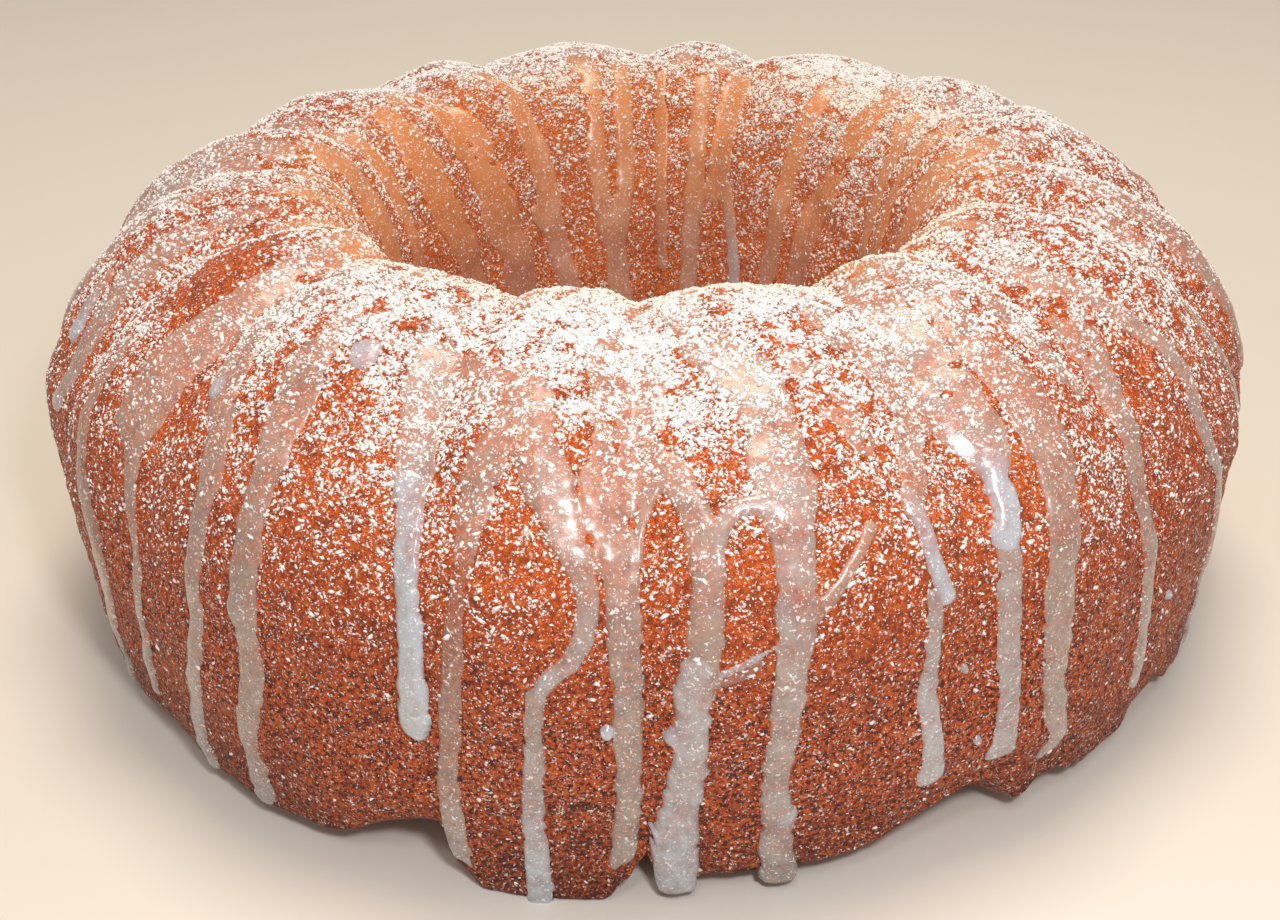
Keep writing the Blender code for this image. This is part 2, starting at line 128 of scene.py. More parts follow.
# Streams of glaze that the photograph shows, poured round the top. Each is a thickness in mm, its
# whiteness at the start and at the end, and a path of azimuth, run in mm and width in mm
STREAMS = (
    # Over the shoulder and down the outer wall, roughly from left to right
    (0.6, 0.3, 0.38, ((213, 32, 3), (213.5, 50, 4.2), (214.5, 60, 5), (216.8, 70, 5),
        (215, 85, 4.6), (210.5, 109, 5.4))),
    (0.9, 0.4, 0.8, ((197, 30, 3), (198.2, 38, 4), (198.5, 42.5, 5.4))),
    (0.5, 0.34, 0.34, ((216, -17.2, 4), (221, 1, 6.5), (221.2, 12, 8), (221, 24, 10),
        (220.4, 34, 12), (220.6, 42, 10))),
    (0.5, 0.36, 0.45, ((220.6, 40, 7), (221.5, 50, 3.6), (222.8, 68, 2.4), (221.8, 87, 2.2),
        (219.5, 104, 2.8))),
    (0.5, 0.34, 0.36, ((231, 0, 4), (226.8, 11, 6), (227, 20, 8), (229, 29, 8), (231.5, 37, 7),
        (232.4, 44, 6))),
    (0.7, 0.36, 0.5, ((232.4, 43, 5), (231.9, 60, 4), (230.8, 81, 3.8), (227.4, 102, 4),
        (227.5, 109.5, 4.8))),
    (0.5, 0.3, 0.36, ((237, 8, 5), (237.2, 17, 8), (237.4, 25, 8), (238.2, 38, 7.5))),
    (0.8, 0.34, 0.46, ((238.2, 37, 6), (237.6, 52, 6.2), (237.3, 79, 5.6), (235.5, 94, 4.8),
        (235.2, 108.5, 5.4))),
    (0.5, 0.34, 0.5, ((247, -1.1, 5), (248.3, 10, 8), (249.3, 21, 8), (250, 29, 7.4),
        (250.3, 38, 6.2))),
    (1.5, 0.62, 1.0, ((250.3, 36, 5.4), (251.2, 49, 4.8), (252, 62, 4.8), (252.1, 72, 5.2),
        (251.8, 79, 6))),
    (0.4, 0.32, 0.36, ((252, 14, 6), (255, 17, 9), (259, 20, 10), (260.8, 29, 8), (262.5, 37, 7),
        (264.4, 45, 5.4))),
    (0.5, 0.34, 0.3, ((258, 24, 5), (256.6, 32, 7), (256.2, 40, 6), (256, 47, 4))),
    (0.6, 0.38, 0.56, ((264.6, 45, 4.4), (265.4, 54, 3.4), (264.4, 62, 3.2), (262.6, 66, 2.8),
        (261.6, 70, 2.6))),
    (0.8, 0.42, 0.72, ((261.6, 69, 3), (261.1, 82, 3.4), (260.6, 98, 3.8), (260.8, 112, 4.6))),
    (0.5, 0.04, 0.5, ((256, 46, 3), (255.7, 56, 3.4), (255.1, 72, 3.8), (254.2, 90, 3.9),
        (254.2, 100, 4), (254.2, 106.5, 4.8))),
    (0.45, 0.28, 0.3, ((268.8, -6.5, 8), (268.2, 6, 12), (267.8, 18, 13.5), (268.4, 28, 13),
        (267.2, 36, 9.4), (267.3, 46, 7))),
    (1, 0.36, 0.4, ((267.6, 44, 6.2), (268, 58, 5.2), (268.2, 76, 4.6), (268, 91, 4.6),
        (267.5, 104, 4.8))),
    (0.7, 0.32, 0.34, ((271.4, 30, 5), (273.2, 38, 4.8), (274, 46, 5.4), (273.9, 54, 5.2),
        (273.5, 66, 5.6))),
    (0.8, 0.34, 0.4, ((268.8, 50, 1.6), (269.1, 42, 1.8), (269.8, 36, 2.2), (270.6, 33.6, 2.6),
        (271.5, 34, 2.6), (272.3, 36.6, 2.4))),
    (1.5, 0.52, 0.64, ((273.1, 64, 5.6), (272.6, 80, 6), (271.9, 96, 6.8), (271.4, 107, 7.6),
        (271.5, 112, 6.6))),
    (0.5, 0.32, 0.44, ((273.8, -6.5, 7), (276.2, 5.5, 10), (279, 15.6, 10), (280, 24, 10),
        (280.3, 32, 10.5), (280, 40, 9.4))),
    (1.1, 0.46, 0.42, ((280, 38, 8), (280.4, 48, 6.4), (280, 60, 6), (279.5, 75, 5.2),
        (279.2, 92, 5.2), (279.9, 111.5, 6.6))),
    (0.9, 0.44, 0.5, ((274.7, 47, 2.6), (275.1, 42, 2.8), (276.2, 39, 3.2), (277.4, 38.2, 3.4),
        (279, 38.6, 4))),
    (0.5, 0.34, 0.3, ((286.4, 44, 2.6), (284.4, 50, 2.4), (281.6, 56, 2.6))),
    (0.25, 0.12, 0.12, ((277.4, 63.6, 2), (276.2, 65, 2.6), (274.6, 66.4, 2.6))),
    (0.4, 0.62, 0.66, ((279, 60, 0.7), (277.2, 62.4, 0.8), (274.8, 65, 1))),
    (0.35, 0.25, 0.25, ((284, 12, 4), (285.6, 19, 6), (287, 25, 6), (288, 31, 4))),
    (0.45, 0.32, 0.36, ((289.5, 0, 5), (291, 9, 8), (292.8, 14, 9), (294, 24, 8), (292.4, 33, 6.4),
        (290.6, 42, 5))),
    (1.1, 0.5, 0.82, ((290.4, 40, 3.6), (291, 48, 3.2), (292, 57.5, 3.6))),
    (0.8, 0.5, 0.64, ((291, 57, 2.8), (291, 76, 3.6), (292, 90, 3.9), (292.2, 96.8, 4.8))),
    (0.5, 0.34, 0.46, ((298.4, -5.4, 8), (297.7, 8, 10), (297.5, 20, 11), (298, 31, 10),
        (298.6, 39, 7))),
    (1.4, 0.66, 0.95, ((298.6, 38, 5), (298.6, 45, 4.6), (298, 51, 4.8))),
    (0.8, 0.42, 0.62, ((298, 52, 4.2), (298, 66, 4.4), (298.7, 87, 4.6), (298.8, 98.5, 5.6))),
    (0.5, 0.28, 0.34, ((304.8, -8.6, 7), (302.8, 8, 8), (303.1, 20, 8.5), (304.1, 30, 9),
        (304.4, 42, 8.5))),
    (0.9, 0.34, 0.46, ((304.3, 40, 7.6), (303.2, 54, 7.4), (302.6, 68, 6.2), (303.1, 84, 5),
        (304.6, 97, 5), (304.5, 101, 5.6))),
    (0.45, 0.3, 0.34, ((310, -2.2, 5), (309, 10, 7), (309.6, 22, 6), (311, 32, 4))),
    (0.5, 0.32, 0.4, ((317.8, 4, 6), (316.4, 20, 7.5), (315.4, 32, 6.5), (315, 46, 5),
        (314.6, 60, 3.8))),
    (0.7, 0.4, 0.52, ((314.6, 58, 3.4), (315, 78, 2.8), (316.2, 98, 3.4))),
    (0.7, 0.4, 0.46, ((318.4, 8, 3), (320.6, 19, 4.6), (323.2, 31, 4.6), (325.2, 41, 5),
        (325, 48, 4.4), (324.8, 58, 3.4))),
    (0.7, 0.42, 0.5, ((324.8, 56, 3), (328.6, 75, 2.6), (331.4, 96, 2.6), (331.8, 108, 3.6))),
    (0.5, 0.28, 0.34, ((343, 12, 5), (340, 28, 6), (336.4, 38, 6), (337.5, 48, 5), (341, 62, 4.4),
        (342, 84, 3.6))),
    # Down the far wall of the hole
    (0.5, 0.16, 0.2, ((136.6, -8.6, 7), (133, -28.3, 9), (129.6, -43.4, 10), (126, -60.6, 9),
        (124.6, -77.5, 7))),
    (0.6, 0.22, 0.32, ((120.2, -9.7, 5), (117, -28.3, 5.6), (114.4, -45.5, 5.6), (113, -59.6, 5.2),
        (109, -77.5, 5))),
    (0.7, 0.42, 0.46, ((118.6, -49.5, 2.6), (116.4, -53.5, 3), (113.4, -55.5, 3.4))),
    (0.6, 0.2, 0.4, ((100.2, -13.4, 4.4), (101, -32.9, 5), (100.2, -49.5, 5), (97.4, -61.6, 6),
        (96, -81.5, 6))),
    (0.6, 0.2, 0.36, ((93.8, -13.4, 4.4), (93.8, -35.2, 4.6), (94.6, -48.5, 4.6), (97, -59.6, 5))),
    (0.4, 0.2, 0.3, ((85.4, -16, 2.8), (84.8, -41.4, 3), (84.6, -65.7, 2.8))),
    (0.7, 0.28, 0.5, ((76.2, -18.5, 4), (75.8, -41.4, 4.6), (76.8, -59.6, 4.2), (77.6, -77.5, 4))),
    (0.5, 0.18, 0.26, ((69, -8.6, 6), (69.4, -30.6, 6.4), (71, -47.5, 5))),
    (0.6, 0.34, 0.8, ((68.4, -45, 3.4), (65.6, -57.5, 3.2), (63.6, -71.6, 3.2))),
    (0.5, 0.2, 0.34, ((48, -10.8, 4.6), (50.6, -35.2, 4.6), (52.6, -52.5, 4.6), (54, -67.7, 4))),
    (0.5, 0.2, 0.26, ((33, -10.8, 7), (37.6, -35.2, 8), (43, -52.5, 7), (46, -71.6, 6))),
    (0.5, 0.16, 0.2, ((149, -16, 8), (147.4, -37.3, 10), (142.4, -51.5, 9), (139, -71.6, 7))),
)
# Single drops of glaze: azimuth, run in mm, width in mm
DROPS = (
    (242.0, 15.6, 5.6), (228.2, 29.8, 4.0), (318.5, 80.6, 1.6), (296.0, 90.0, 1.3), (294.2, 73.7, 1.3),
    (338.0, 92.0, 1.6), (271.2, 77.0, 2.6), (270.2, 101.0, 3.2), (266.6, 76.4, 2.0), (279.8, 97.5, 4.6),
)
DROP_THICKNESS, DROP_WHITENESS, DROP_HALF_LENGTH = 1.1, 0.68, 0.3

# Streams where the photograph does not look: round the back, and down the near side of the hole.
# Pairs are the ranges of random draws: where the first and the last point lie along the run in mm,
# the width in mm, the thickness in mm, the whiteness at the start and how much it grows
STREAM_STARTS = (0.1, 0.9)
BACK_STREAMS, BACK_STRAY = 23, 1.6
BACK_TURNS, BACK_ENDS, BACK_WIDTHS = (-14.0, 8.0), (52, 110), (6, 10)
BACK_THICKNESS, BACK_WHITE, BACK_WHITER = (0.5, 0.9), (0.25, 0.35), (0.1, 0.35)
# Runs of the points between in mm, the share of the rest at which the last of them lies, and the
# shares of the width
BACK_RUNS, BACK_DRIP_SHARE = (16, 32, 48), 0.6
BACK_WIDTH_SHARES = (0.8, 1, 1, 0.7, 0.5, 0.55)
HOLE_START, HOLE_END = 150.0, 392.0
HOLE_STREAMS, HOLE_STRAY = 20, 2
HOLE_TURNS, HOLE_ENDS, HOLE_WIDTHS = (-8, 2), (-97.0, -45.0), (4, 8)
HOLE_THICKNESS, HOLE_WHITE, HOLE_WHITER = 0.5, (0.15, 0.25), (0, 0.2)
HOLE_RUN_SHARES, HOLE_WIDTH_SHARES = (0.35, 0.7, 1), (1, 1, 0.7, 0.6)

# The map of the glaze's height above the crust's even surface: its grid, how far it goes on below
# the baked edge, and what it holds where there is no glaze
MAP_COLUMNS = 1440
MAP_RUN_STEP, MAP_PAST_EDGE, LAST_CELL = 0.55 * MM, 3 * MM, 1.001
NO_GLAZE, BARE_WHITENESS, FAR = -1.2 * MM, 0.4, 1.0
# How far past its half width a stream is worked out, and the half width from which it is ragged
STREAM_REACH, RAGGED_HALF = 3 * MM, 3 * MM
EDGE_SLOPE = 1.3
BLEND = 0.25 * MM
STREAM_FLATNESS = 2.4
PATH_STEPS = 6
# Size and height in mm of the waves on the glaze, and size and reach of those of its ragged edge
GLAZE_WAVES = ((4.5, 0.09), (1.6, 0.07))
RAGGED = ((3.4, 0.42), (1.6, 0.50))
# The ragged edge of wide films only: size of its waves, their reach, and the half widths between
# which it sets in, all in mm
WIDE_RAGGED, WIDE_HALF = (7.5, 1.3), (2.6, 4.5)
# Films on the shoulder are thinner than drips on the wall: runs in mm and shares of the thickness
FILM_RUNS, FILM_SHARES = (26.0, 52.0), (0.6, 1.0)
# The height from which glaze is as white as it gets, and the share of that where it is thinnest
FULL_WHITE, THIN_SHARE = 0.5 * MM, 0.85
# The heights between which the glaze's own colour fades in
COVER_LOW, COVER_HIGH = -0.25 * MM, 0.35 * MM
# The glaze's underside, the lowest that its rim goes and its least thickness at the rim
GLAZE_BOTTOM, GLAZE_LOWEST, GLAZE_LEAST = -0.8 * MM, -0.6 * MM, 0.1 * MM
# Pieces of the glaze overlap by so many of the map's columns and rows, where each dips under the other
OVERLAP, OVERLAP_DIP = 4, 0.35 * MM

# How much sugar lies on the crust along the run in mm, 1 where it is densest
SUGAR_RUNS = (-105, -85, -63, -41, -21, -6, 6, 22, 36, 48, 58, 68, 82, 110)
SUGAR_SHARES = (0.01, 0.08, 0.32, 0.55, 0.85, 1.0, 1.0, 0.85, 0.64, 0.36, 0.14, 0.05, 0.02, 0.01)
# How much of it stays on the glaze, along the same runs
SUGAR_ON_GLAZE = (0.1, 0.1, 0.1, 0.12, 0.25, 0.65, 0.75, 0.65, 0.45, 0.25, 0.2, 0.2, 0.2, 0.2)
SUGAR_LESS_AT_SIDES = 0.35
# Size of the sugar's patches and clusters, then the middle, the swing and the least of each
SUGAR_PATCH, SUGAR_CLUSTER = 11 * MM, np.array([2.5, 2.5, 1.3]) * MM
PATCH_LEVELS, CLUSTER_LEVELS = (0.85, 0.4, 0.35), (0.70, 0.9, 0.10)
# Places where the sugar lies thicker or is missing: azimuth, run in mm, radius in mm, change
SUGAR_PLACES = (
    (242, 15.6, 5, -1.2), (228.2, 29.8, 4, -1.2), (312, 44, 30, 0.5), (250, 6, 36, 0.7),
    (283, 4, 36, 0.8), (264, -10, 22, 0.4), (42, -20, 40, 1.0), (20, -6, 34, 0.6), (110, -6, 30, 0.3),
    (215.2, 14, 13, -1.0), (213, 2, 10, -0.7), (224.5, 38, 9, -0.8), (242, 24, 9, -0.5),
    (256, 29, 7, -0.8), (265, 36, 8, -0.8), (270.4, 40, 7, -0.8), (278, 18, 7, -0.8),
    (277.6, 49, 8, -0.9), (285, 29, 8, -0.8), (300.5, 41, 8, -0.7), (307.5, 33, 9, -0.8),
    (318, 36, 9, -0.8), (321.5, 51, 9, -0.7),
)
# How fast such a change fades towards its radius, and the least and the most that it leaves
PLACE_FADE, PLACE_LIMITS = 1.5, (0.06, 2)
# The crust's own dust ends where the glaze rises to so much over the even surface
DUST_REACH = 0.3 * MM
# Kinds of grains: name, how many, corners round the rim, radius range in mm, height share
GRAIN_KINDS = (
    ("sugar_clumps", 14200, 7, (0.32, 0.68), 0.55),
    ("sugar_flakes", 19900, 5, (0.26, 0.50), 0.60),
    ("sugar_crumbs", 24900, 4, (0.22, 0.42), 0.65),
    ("sugar_grains", 33200, 3, (0.18, 0.34), 0.70),
    ("sugar_dust", 33200, 3, (0.11, 0.22), 0.80),
)
# Places tried for each grain, how far they keep from the two edges, and the height of the glaze
# from which a grain counts as lying on it
GRAIN_TRIES, GRAIN_HOLE_GAP, GRAIN_EDGE_GAP, GRAIN_ON_GLAZE = 12, 2 * MM, 1 * MM, 0.1 * MM
# A grain's corners: how far they stray along the rim, their reach and their tilt. Then its length,
# its breadth, how far its peak strays and how deep its foot sits, all as shares of its radius
CORNER_STRAY, CORNER_REACH, CORNER_TILT = 0.3, (0.45, 1.15), (-0.25, 0.35)
GRAIN_LENGTH, GRAIN_BREADTH, PEAK_STRAY, FOOT_DEPTH = (0.9, 1.6), 0.75, 0.3, 0.5
# How far the long side of a grain turns from level, in radians
LEVEL_SPREAD = 0.7
# Small steps along the run and in azimuth that give the surface's directions
RUN_NUDGE, TURN_NUDGE = 0.2 * MM, 0.1
# Grains are larger about the crest: runs in mm and how many times larger
LARGER_RUNS, LARGER = (-45.0, -10.0, 14.0, 40.0), (1.0, 1.35, 1.35, 1.05)

# The camera, from the photograph: 1280 by 920 pixels
FOCAL_LENGTH, SENSOR_WIDTH = 45.0, 36.0
CAMERA_ELEVATION = math.radians(29.5)
CAMERA_ROLL = math.radians(-1.0)
CAMERA_DISTANCE = 0.373
CAMERA_TARGET = (-1.5 * MM, 0.0, 17.8 * MM)
CLIP_START, CLIP_END = 0.01, 20

FLOOR_SIZE = 6.0
FLOOR_COLOUR, FLOOR_SHADE, FLOOR_CLOUD, FLOOR_ROUGHNESS = (0.86, 0.81, 0.73), 0.965, (6.0, 3.0), 0.7

# Lamps: name, place, size, power and colour. The last one's place is measured from the camera
LAMP_TARGET = (0, 0, 0.04)
KEY = ("key", (-0.08, -0.66, 0.98), 0.2, 1.2, (0.96, 0.97, 1.0))
TOP = ("top", (0.03, 0.10, 1.14), 0.5, 6.6, (1.0, 0.86, 0.69))
LENS_SIDE = ("lens_side", (0.05, 0.0, 0.07), 0.04, 0.52, (0.97, 0.98, 1.0))
ROOM_COLOUR, ROOM_STRENGTH = (1.0, 0.93, 0.85, 1.0), 0.39


def smooth(t):
    """An S-shaped step from 0 to 1: 3 t squared less 2 t cubed."""
    t = np.clip(t, 0, 1)
    return t * t * (3 - 2 * t)


def nominal_profile():
    """Radius, height and run of the profile over the ridges: a wall that leans out by a quarter
    sine, a shoulder and a hole lip that are quarters of super-ellipses, and a straight hole."""
    quarter = np.linspace(0, math.pi / 2, PROFILE_POINTS)
    wall_z = np.linspace(EDGE_HEIGHT, WIDEST_HEIGHT, PROFILE_POINTS)[:-1]
    wall_rise = (wall_z - EDGE_HEIGHT) / (WIDEST_HEIGHT - EDGE_HEIGHT)
    wall_r = EDGE_RADIUS + (WIDEST_RADIUS - EDGE_RADIUS) * np.sin(wall_rise * math.pi / 2)
    shoulder_r = CREST_RADIUS + (WIDEST_RADIUS - CREST_RADIUS) * np.cos(quarter) ** (2 / SHOULDER_POWER)
    shoulder_z = WIDEST_HEIGHT + (HEIGHT - WIDEST_HEIGHT) * np.sin(quarter) ** (2 / SHOULDER_POWER)
    upright_radius = HOLE_RADIUS + HOLE_TAPER
    lip_r = CREST_RADIUS - (CREST_RADIUS - upright_radius) * np.sin(quarter[1:]) ** (2 / HOLE_LIP_POWER)
    lip_z = HEIGHT - HOLE_LIP_DEPTH * (1 - np.cos(quarter[1:]) ** (2 / HOLE_LIP_POWER))
    hole_z = np.linspace(HEIGHT - HOLE_LIP_DEPTH, HOLE_EDGE_HEIGHT, PROFILE_POINTS)[1:]
    inner_r = np.concatenate([lip_r, np.full_like(hole_z, upright_radius)])
    inner_z = np.concatenate([lip_z, hole_z])
    inner_r = inner_r - HOLE_TAPER * (1 - inner_z / HEIGHT)
    radius = np.concatenate([wall_r, shoulder_r, inner_r])
    height = np.concatenate([wall_z, shoulder_z, inner_z])
    length = np.concatenate([[0], np.cumsum(np.hypot(np.diff(radius), np.diff(height)))])
    run = EDGE_RUN - length
    return radius[::-1], height[::-1], run[::-1]


PROFILE_R, PROFILE_Z, PROFILE_RUN = nominal_profile()
SLOPE_R = np.gradient(PROFILE_R, PROFILE_RUN)
SLOPE_Z = np.gradient(PROFILE_Z, PROFILE_RUN)
HOLE_EDGE_RUN = PROFILE_RUN.min()


def lobe_bulge(azimuth):
    """Near 0 in the creases between lobes and 1 on their ridges: a power of a half sine, whose
    square has a little added to it so that a crease is round at the bottom."""
    within = (azimuth - FIRST_NARROW_LOBE + NARROW_LOBE_ANGLE / 2) % PAIR_ANGLE
    narrow = within / NARROW_LOBE_ANGLE
    wide = (within - NARROW_LOBE_ANGLE) / WIDE_LOBE_ANGLE
    across = np.where(within < NARROW_LOBE_ANGLE, narrow, wide)
    return (np.sin(math.pi * across) ** 2 + CREASE_SOFTNESS**2) ** (LOBE_ROUNDNESS / 2)


def unevenness(azimuth, run):
    """Soft hollows and swellings: wave k goes 3 k + 2 times round the ring as a sine, whose phase
    bends and whose height swings along the profile, and is divided by k."""
    total = 0.0
    for k in range(1, WAVES + 1):
        along = WAVE_RUN * k * run + GOLDEN_ANGLE * k
        around = (3 * k + 2) * np.radians(azimuth) + GOLDEN_ANGLE * k
        total = total + np.sin(around + np.sin(along)) * np.cos(along) / k
    return UNEVENNESS * total


def edge_height(azimuth):
    """Height of the baked edge: even, plus each bite's smooth rise times its smooth end."""
    rng = np.random.default_rng(SEED)
    bites = list(EDGE_BITES)
    for k in range(BACK_BITES):
        start = BACK_START + (BACK_END - BACK_START) * (k + rng.uniform(0, BACK_BITE_STRAY)) / BACK_BITES
        angle = rng.uniform(*BACK_BITE_ANGLE)
        growing, ending = angle * BACK_BITE_GROWS, angle * BACK_BITE_ENDS
        bites.append((start, start + angle, growing, ending, rng.uniform(*BACK_BITE_LIFT)))
    height = np.full(np.shape(azimuth), EDGE_HEIGHT)
    for start, end, growing, ending, lift in bites:
        past = (azimuth - start) % 360
        height = height + lift * MM * smooth(past / growing) * smooth((end - start - past) / ending)
    return np.maximum(height, LOWEST)


def skin(azimuth, run, lift=0.0):
    """Points of the cake's even surface, raised by lift along the profile's normal: the profile
    turned about Z, less the creases, plus the unevenness, with its lower rim bent to the edge."""
    azimuth, run = np.broadcast_arrays(np.asarray(azimuth, float), np.asarray(run, float))
    radius, height = np.interp(run, PROFILE_RUN, PROFILE_R), np.interp(run, PROFILE_RUN, PROFILE_Z)
    slope_r, slope_z = np.interp(run, PROFILE_RUN, SLOPE_R), np.interp(run, PROFILE_RUN, SLOPE_Z)
    slope = np.hypot(slope_r, slope_z)
    crease = CREASE_DEPTH * np.interp(run / MM, CREASE_RUNS, CREASE_SHARES) * (1 - lobe_bulge(azimuth))
    out = lift - crease + unevenness(azimuth, run)
    radius = radius - slope_z / slope * out
    height = height + slope_r / slope * out
    near_edge = np.where(run > 0, 1 - smooth((height - EDGE_HEIGHT) / RIM_REACH), 0)
    height = height + (edge_height(azimuth) - EDGE_HEIGHT) * near_edge
    around = np.radians(azimuth)
    return np.stack([radius * np.cos(around), radius * np.sin(around), height], -1)


def corner_value(x, y, z, seed):
    """A fixed random value from 0 to 1 for each corner of a lattice, by mixing its whole numbers."""
    mixed = x * HASH_X ^ y * HASH_Y ^ z * HASH_Z ^ (seed + 1) * HASH_SEED
    mixed = (mixed ^ (mixed >> 13)) * HASH_AGAIN
    return ((mixed ^ (mixed >> 16)) & HASH_TOP) / HASH_TOP


def lumps(points, size, seed):
    """Value noise from -1 to 1: random values on a cubic lattice of that size, blended between
    the eight corners round each point by S-shaped weights. A size may differ for X, Y and Z."""
    place = points / size
    cell = np.floor(place).astype(np.int64)
    share = smooth(place - cell)
    total = 0.0
    for corner in range(8):
        dx, dy, dz = corner & 1, corner >> 1 & 1, corner >> 2 & 1
        value = corner_value(cell[..., 0] + dx, cell[..., 1] + dy, cell[..., 2] + dz, seed)
        for axis, far in enumerate((dx, dy, dz)):
            value = value * (share[..., axis] if far else 1 - share[..., axis])
        total = total + value
    return total * 2 - 1


def waves(points, sizes, seed):
    """The sum of value noises, one for each pair of a size and a height in mm."""
    return sum(height * MM * lumps(points, size * MM, seed + k) for k, (size, height) in enumerate(sizes))


def crust_relief(points):
    """Height of the crust's lumps over its even surface: value noise of three sizes, and near the
    base flat wrinkles, which are value noise stretched round the cake."""
    relief = waves(points, CRUST_LUMPS, LUMP_SEED) - CRUST_SINK
    stretched = np.array([WRINKLE_LENGTH, WRINKLE_LENGTH, WRINKLE_SPACING])
    low = 1 - smooth(points[..., 2] / WRINKLE_TOP)
    return relief + WRINKLE_HEIGHT * low * lumps(points, stretched, WRINKLE_SEED)


def smooth_path(path):
    """The path as a Catmull-Rom curve through its points, with PATH_STEPS pieces to a span."""
    points = np.array(path, float)
    padded = np.concatenate([2 * points[:1] - points[1:2], points, 2 * points[-1:] - points[-2:-1]])
    t = (np.arange(PATH_STEPS) / PATH_STEPS)[None, :, None]
    a, b, c, d = (padded[k : len(padded) - 3 + k, None] for k in range(4))
    curve = b + t * (c - a) / 2 + t**2 * (a - 2.5 * b + 2 * c - d / 2)
    curve = curve + t**3 * (b - c + (d - a) / 3) * 1.5
    return np.concatenate([curve.reshape(-1, 3), points[-1:]])


def seeded_streams():
    """Streams round the back and down the near side of the hole: each starts near the crest in its
    equal share of the angle, wanders a little, and narrows from a film to a drip on the wall."""
    rng = np.random.default_rng(SEED + 1)
    streams = []
    for k in range(BACK_STREAMS):
        azimuth = BACK_START + (BACK_END - BACK_START) * (k + rng.uniform(*STREAM_STARTS)) / BACK_STREAMS
        azimuth = azimuth + np.cumsum(rng.uniform(-BACK_STRAY, BACK_STRAY, len(BACK_WIDTH_SHARES)))
        end, widths = rng.uniform(*BACK_ENDS), rng.uniform(*BACK_WIDTHS) * np.array(BACK_WIDTH_SHARES)
        drip = BACK_RUNS[-1] + (end - BACK_RUNS[-1]) * BACK_DRIP_SHARE
        path = np.stack([azimuth, (rng.uniform(*BACK_TURNS), *BACK_RUNS, drip, end), widths], 1)
        white, thickness = rng.uniform(*BACK_WHITE), rng.uniform(*BACK_THICKNESS)
        streams.append((thickness, white, white + rng.uniform(*BACK_WHITER), path))
    for k in range(HOLE_STREAMS):
        azimuth = HOLE_START + (HOLE_END - HOLE_START) * (k + rng.uniform(*STREAM_STARTS)) / HOLE_STREAMS
        azimuth = azimuth + np.cumsum(rng.uniform(-HOLE_STRAY, HOLE_STRAY, len(HOLE_WIDTH_SHARES)))
        end, widths = rng.uniform(*HOLE_ENDS), rng.uniform(*HOLE_WIDTHS) * np.array(HOLE_WIDTH_SHARES)
        runs = (rng.uniform(*HOLE_TURNS), *(end * np.array(HOLE_RUN_SHARES)))
        white = rng.uniform(*HOLE_WHITE)
        path = np.stack([azimuth, runs, widths], 1)
        streams.append((HOLE_THICKNESS, white, white + rng.uniform(*HOLE_WHITER), path))
    return streams


def map_grid():
    """Azimuths and runs of the glaze map's columns and rows, and the radius of each row."""
    azimuth = np.arange(MAP_COLUMNS) * 360 / MAP_COLUMNS
    run = np.arange(HOLE_EDGE_RUN, EDGE_RUN + MAP_PAST_EDGE, MAP_RUN_STEP)
    radius = np.interp(run, PROFILE_RUN, PROFILE_R)
    return azimuth, run, radius


